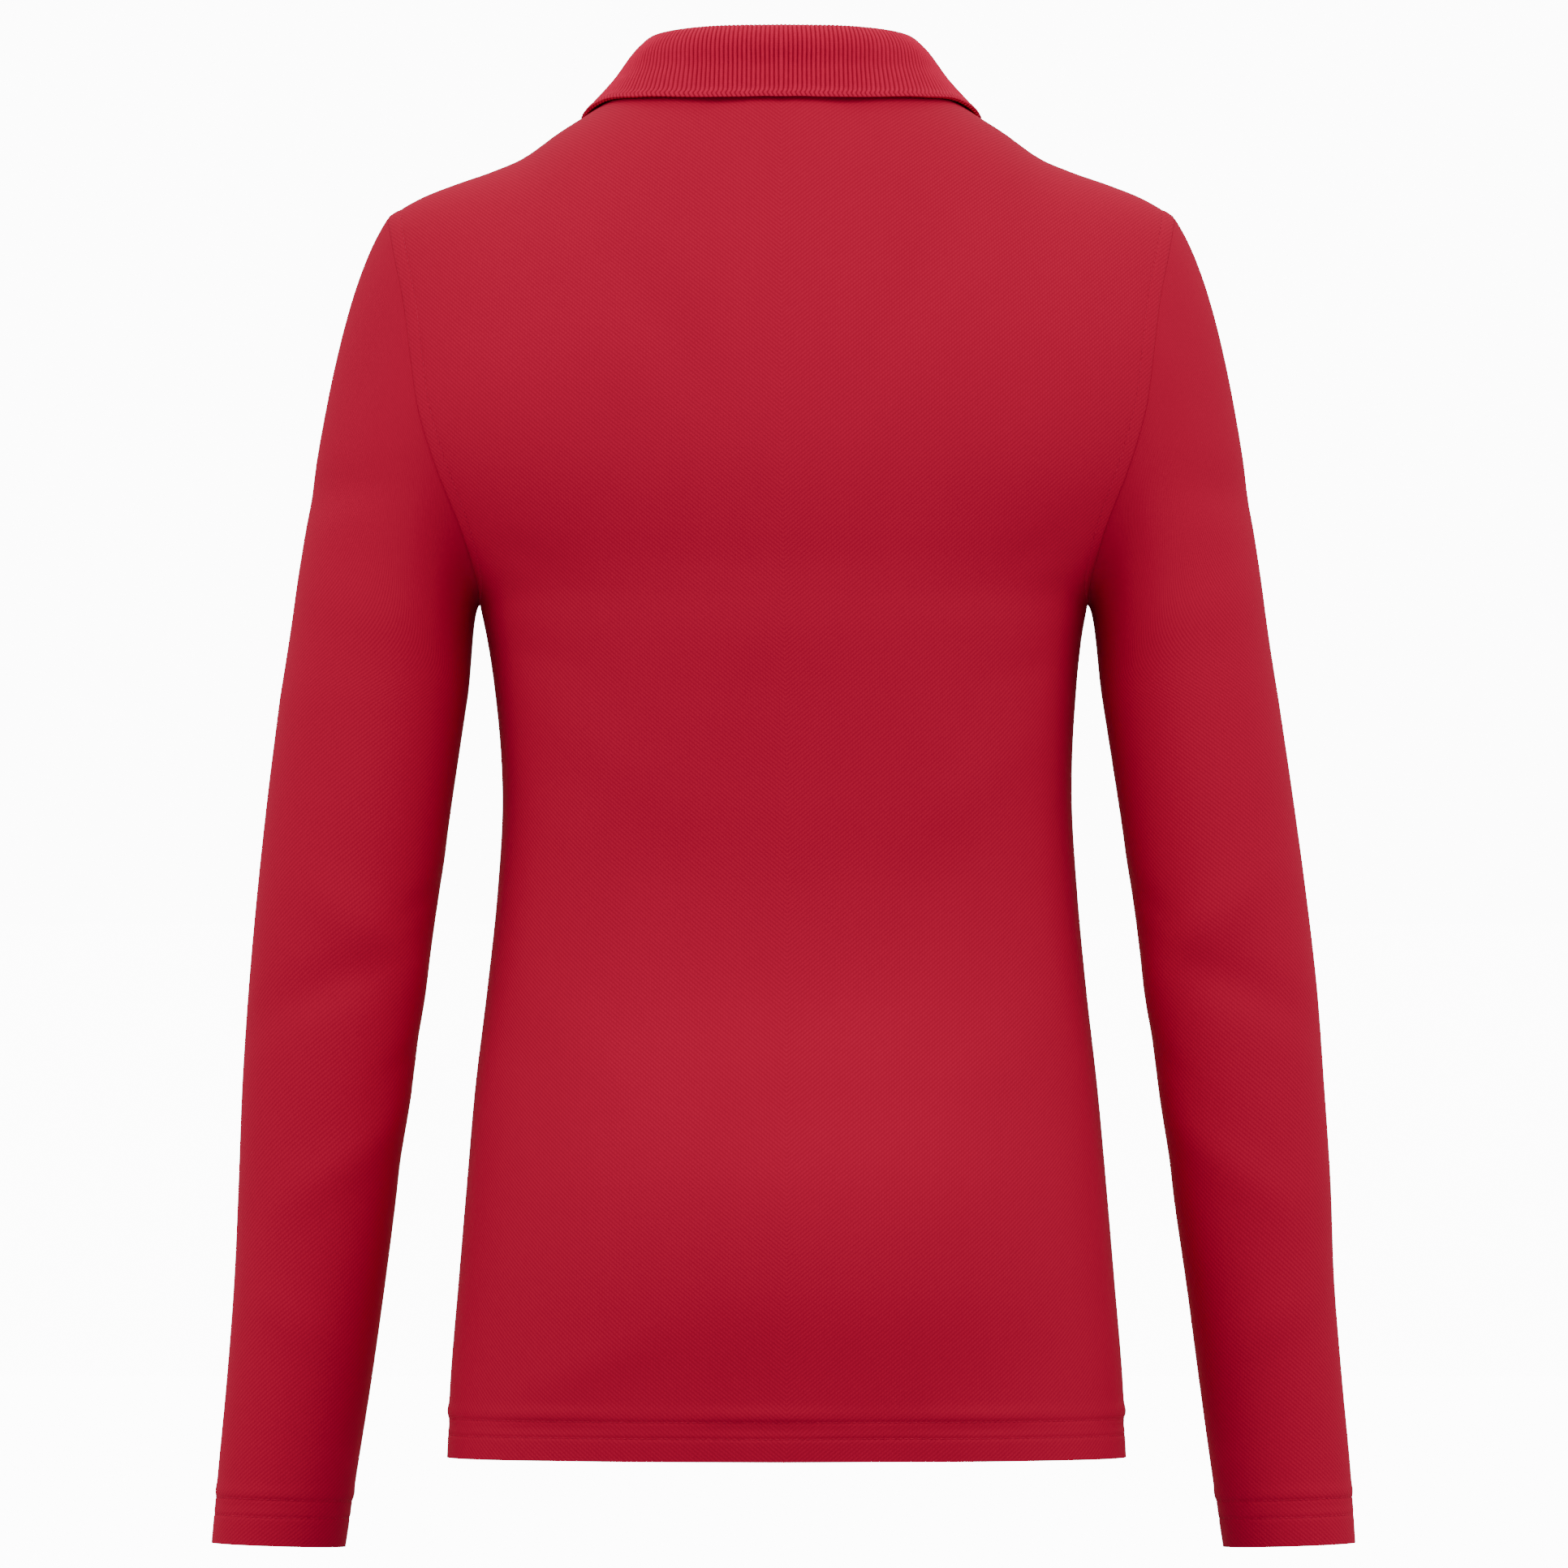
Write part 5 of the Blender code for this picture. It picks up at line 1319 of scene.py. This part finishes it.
PIQUE_RED = (0.48, 0.0060, 0.040)
# The pique's deep red is painted shade in the hollows between the dots, mixed with the dye's random
# drift; the thread's mottle also uses it.
PIQUE_RED_SHADE_AND_DYE = (0.25, 0.0036, 0.019)
RIB_RED = (0.58, 0.0085, 0.053)
# The rib's deep red is painted shade in the valleys between the ribs, mixed with the dye's random
# drift.
RIB_RED_SHADE_AND_DYE = (0.30, 0.004, 0.022)
THREAD_RED = (0.60, 0.0120, 0.062)
BUTTON_RED = (0.40, 0.013, 0.028)
BUTTON_RED_DEEP = (0.29, 0.010, 0.020)
SHEEN_RED = (1.0, 0.10, 0.22, 1.0)
PIQUE_WALE = 2.45 * MM      # the knit's dots repeat at these distances across and up
PIQUE_COURSE = 2.05 * MM
PIQUE_LEAN = -0.3           # minus: the rows that fall towards the middle stand out more
RIB_LOOP = 1.05 * MM        # from one loop of a rib to the next


def make_pique(knit, drift):
    """The pique: painted shade in the hollows between its dots, and softly uneven over the piece."""
    material, tree, shader = start_material("pique", 0.90, 0.07, 0.02)
    rows = place_group(tree, knit, cloth_place(tree), Wale=PIQUE_WALE, Course=PIQUE_COURSE,
                       Lean=PIQUE_LEAN)
    uneven, fine = unevenness(tree, drift, 0.09), unevenness(tree, drift, 0.0035)
    # The mix is the hollows' painted shade plus the dye's random drift at two sizes.
    depth = math_node(tree, "MULTIPLY", rows.outputs["HollowShade"], 0.45)
    depth = math_node(tree, "ADD", depth, math_node(tree, "MULTIPLY", uneven, 0.20))
    depth = math_node(tree, "ADD", depth, math_node(tree, "MULTIPLY", fine, 0.06))
    depth = math_node(tree, "ADD", depth, 0.05, clamp=True)
    tree.links.new(mixed_colour(tree, depth, PIQUE_RED, PIQUE_RED_SHADE_AND_DYE), shader.inputs["Base Color"])
    height = math_node(tree, "ADD", rows.outputs["Height"], math_node(tree, "MULTIPLY", fine, 0.12))
    bumped(tree, shader, height, 0.06 * MM)
    return material


def make_rib(drift):
    """The rib knit: painted shade in the deep valleys between the ribs, and small loops along them."""
    material, tree, shader = start_material("rib_knit", 0.88, 0.08, 0.03)
    split = tree.nodes.new("ShaderNodeSeparateXYZ")
    tree.links.new(cloth_place(tree), split.inputs[0])
    turn = math_node(tree, "MULTIPLY", split.outputs["X"], 2 * math.pi / RIB_PITCH)
    rib = math_node(tree, "COSINE", turn)
    # Painted shade: the colour darkens towards the middle of each valley between the ribs.
    valley_shade = math_node(tree, "MULTIPLY_ADD", rib, -0.5)
    valley_shade.node.inputs[2].default_value = 0.5
    valley_shade = math_node(tree, "POWER", valley_shade, 2.5)
    # Loops: small arches along each rib.
    across_rib = math_node(tree, "SINE", math_node(tree, "MULTIPLY", turn, 0.5))
    arch = math_node(tree, "MULTIPLY", math_node(tree, "ABSOLUTE", across_rib), 1.3)
    step = math_node(tree, "MULTIPLY", split.outputs["Y"], 2 * math.pi / RIB_LOOP)
    loops = math_node(tree, "COSINE", math_node(tree, "ADD", step, arch))
    fine = unevenness(tree, drift, 0.003)
    # The mix is the valleys' painted shade plus the dye's random drift.
    share = math_node(tree, "ADD", valley_shade, math_node(tree, "MULTIPLY", fine, 0.35))
    share = math_node(tree, "SUBTRACT", share, 0.12, clamp=True)
    tree.links.new(mixed_colour(tree, share, RIB_RED, RIB_RED_SHADE_AND_DYE), shader.inputs["Base Color"])
    height = math_node(tree, "ADD", math_node(tree, "MULTIPLY", loops, 0.25), fine)
    bumped(tree, shader, height, 0.07 * MM)
    return material


def make_mottled(name, drift, size, colours, relief_height, roughness, specular):
    """A plain material whose colour and surface are softly uneven at one size."""
    material, tree, shader = start_material(name, roughness, specular)
    spots = unevenness(tree, drift, size)
    tree.links.new(mixed_colour(tree, spots, *colours), shader.inputs["Base Color"])
    bumped(tree, shader, spots, relief_height)
    return material


# ---- studio ---------------------------------------------------------------------------------

CAMERA_DISTANCE = 12.0
CAMERA_HEIGHT = -0.3215
SENSOR_MM = 36.0
FRAME_WIDTH = 0.7431        # the photograph's width at the shoulder line's plane
FLOOR_HEIGHT = -0.72
FLOOR_RADIUS = 60.0
FLOOR_GREY = (0.55, 0.55, 0.55, 1.0)
BACKGROUND = 12.0           # how brightly the camera sees the white surroundings
AMBIENT = 0.64              # and how brightly they light the shirt
LIT_MIDDLE = np.array([0.0, 0.0, -0.3])
# Name, azimuth from the back towards the wearer's left, elevation, distance, size, power.
LAMPS = (("behind_left", 64.0, 34.0, 4.2, 2.6, 64.0),
         ("behind_right", -64.0, 34.0, 4.2, 2.6, 64.0),
         ("behind_high", 0.0, 52.0, 4.2, 2.6, 60.0),
         ("before_left", 146.0, 46.0, 4.2, 2.6, 54.0),
         ("before_right", -146.0, 46.0, 4.2, 2.6, 54.0),
         ("before_low", 180.0, 4.0, 5.0, 2.4, 24.0))


def add_area(name, place, target, size, power):
    light = bpy.data.lights.new(name, "AREA")
    light.shape = "DISK"
    light.size = size
    light.energy = power
    lamp = placed(name, light)
    lamp.location = place
    away = target - place
    flat = math.hypot(away[0], away[1])
    lamp.rotation_euler = (math.atan2(flat, -away[2]), 0.0, math.atan2(-away[0], away[1]))


def make_studio():
    """The camera, the white surroundings, the lamps and the floor."""
    camera = bpy.data.cameras.new("camera")
    camera.sensor_width = SENSOR_MM
    camera.lens = SENSOR_MM * CAMERA_DISTANCE / FRAME_WIDTH
    camera.clip_end = 200.0
    view = placed("camera", camera)
    view.location = (0.0, CAMERA_DISTANCE, CAMERA_HEIGHT)
    view.rotation_euler = (math.pi / 2, 0.0, math.pi)
    bpy.context.scene.camera = view

    world = bpy.data.worlds.new("studio")
    bpy.context.scene.world = world
    world.use_nodes = True
    tree = world.node_tree
    tree.nodes.clear()
    path, mix = tree.nodes.new("ShaderNodeLightPath"), tree.nodes.new("ShaderNodeMixShader")
    tree.links.new(path.outputs["Is Camera Ray"], mix.inputs[0])
    for socket, strength in ((1, AMBIENT), (2, BACKGROUND)):
        white = tree.nodes.new("ShaderNodeBackground")
        white.inputs["Color"].default_value = (1, 1, 1, 1)
        white.inputs["Strength"].default_value = strength
        tree.links.new(white.outputs[0], mix.inputs[socket])
    out = tree.nodes.new("ShaderNodeOutputWorld")
    tree.links.new(mix.outputs[0], out.inputs[0])

    for name, azimuth, elevation, distance, size, power in LAMPS:
        a, e = math.radians(azimuth), math.radians(elevation)
        way = np.array([math.sin(a) * math.cos(e), math.cos(a) * math.cos(e), math.sin(e)])
        add_area(name, LIT_MIDDLE + distance * way, LIT_MIDDLE, size, power)
    make_floor()


def make_floor():
    """A pale floor that is white to the camera. From below it lets the view through, so that the
    shirt's underside can be seen."""
    bm = bmesh.new()
    bmesh.ops.create_circle(bm, cap_ends=True, segments=96, radius=FLOOR_RADIUS)
    bmesh.ops.translate(bm, verts=bm.verts, vec=(0, 0, FLOOR_HEIGHT))
    floor = placed("studio_floor", from_bmesh("studio_floor", bm))
    material, tree, shader = start_material("pale_floor", 0.9, 0.1)
    shader.inputs["Base Color"].default_value = FLOOR_GREY
    glow, path = tree.nodes.new("ShaderNodeEmission"), tree.nodes.new("ShaderNodeLightPath")
    bright = math_node(tree, "MULTIPLY", path.outputs["Is Camera Ray"], BACKGROUND)
    tree.links.new(bright, glow.inputs["Strength"])
    both = tree.nodes.new("ShaderNodeAddShader")
    tree.links.new(shader.outputs[0], both.inputs[0])
    tree.links.new(glow.outputs[0], both.inputs[1])
    below = tree.nodes.new("ShaderNodeNewGeometry")
    clear = tree.nodes.new("ShaderNodeBsdfTransparent")
    seen_through = tree.nodes.new("ShaderNodeMixShader")
    tree.links.new(below.outputs["Backfacing"], seen_through.inputs[0])
    tree.links.new(both.outputs[0], seen_through.inputs[1])
    tree.links.new(clear.outputs[0], seen_through.inputs[2])
    tree.links.new(seen_through.outputs[0], tree.nodes["Material Output"].inputs[0])
    floor.data.materials.append(material)


# ---- the shirt ------------------------------------------------------------------------------

# Flat width and length of the cut of what shows, in metres, and the share of that rectangle that
# the cut fills. They are measured along the cloth of the model.
CUTS = {
    "back": ((0.44, 0.70), 0.84),
    "front": ((0.45, 0.70), 0.81),
    "sleeve_left": ((0.38, 0.64), 0.63),
    "sleeve_right": ((0.38, 0.64), 0.63),
    "collar": ((0.53, 0.078), 1.0),
    "placket_under": ((0.03, 0.155), 1.0),
    "placket_upper": ((0.035, 0.165), 1.0)}


def main():
    """Makes the studio and the shirt, and hangs each piece on the frame."""
    make_studio()
    knit, drift = pique_group(), drift_group()
    pique, rib = make_pique(knit, drift), make_rib(drift)
    thread = make_mottled("thread", drift, 0.0012, (THREAD_RED, PIQUE_RED_SHADE_AND_DYE), 0.06 * MM, 0.80, 0.10)
    moulded = make_mottled("button_moulded", drift, 0.004, (BUTTON_RED, BUTTON_RED_DEEP), 0.03 * MM,
                           0.32, 0.5)
    stitches = stitch_tree()

    back, back_lines = make_panel("back", BACK_FOLDS, pique)
    front, front_lines = make_panel("front", FRONT_FOLDS, pique)
    left, left_lines = make_sleeve("left", 1.0, pique)
    right, right_lines = make_sleeve("right", -1.0, pique)
    collar = make_collar(rib)
    under, upper, upper_lines = make_plackets(pique)

    sewn = {}
    for piece, lines in ((back, back_lines), (front, front_lines), (left, left_lines),
                         (right, right_lines), (upper, upper_lines)):
        sewn[piece] = sew(piece.name + "_stitches", lines, stitches, thread)
    holes = [tubes("buttonhole_%d" % k, buttonhole_lines(h), HOLE_THREAD, thread)
             for k, h in enumerate(BUTTON_HEIGHTS, start=1)]

    pieces = dict(zip((back, front, left, right, collar, under, upper), CUTS))
    for piece, node in pieces.items():
        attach(piece, "root")
        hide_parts(node)
    for piece in list(sewn.values()) + holes:
        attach(piece, "root")

    for number, height in enumerate(BUTTON_HEIGHTS, start=1):
        body, cross = make_button(number, height, moulded, thread)
        for piece in (body, cross):
            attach(piece, "root")
        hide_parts("button_%d" % number)


main()
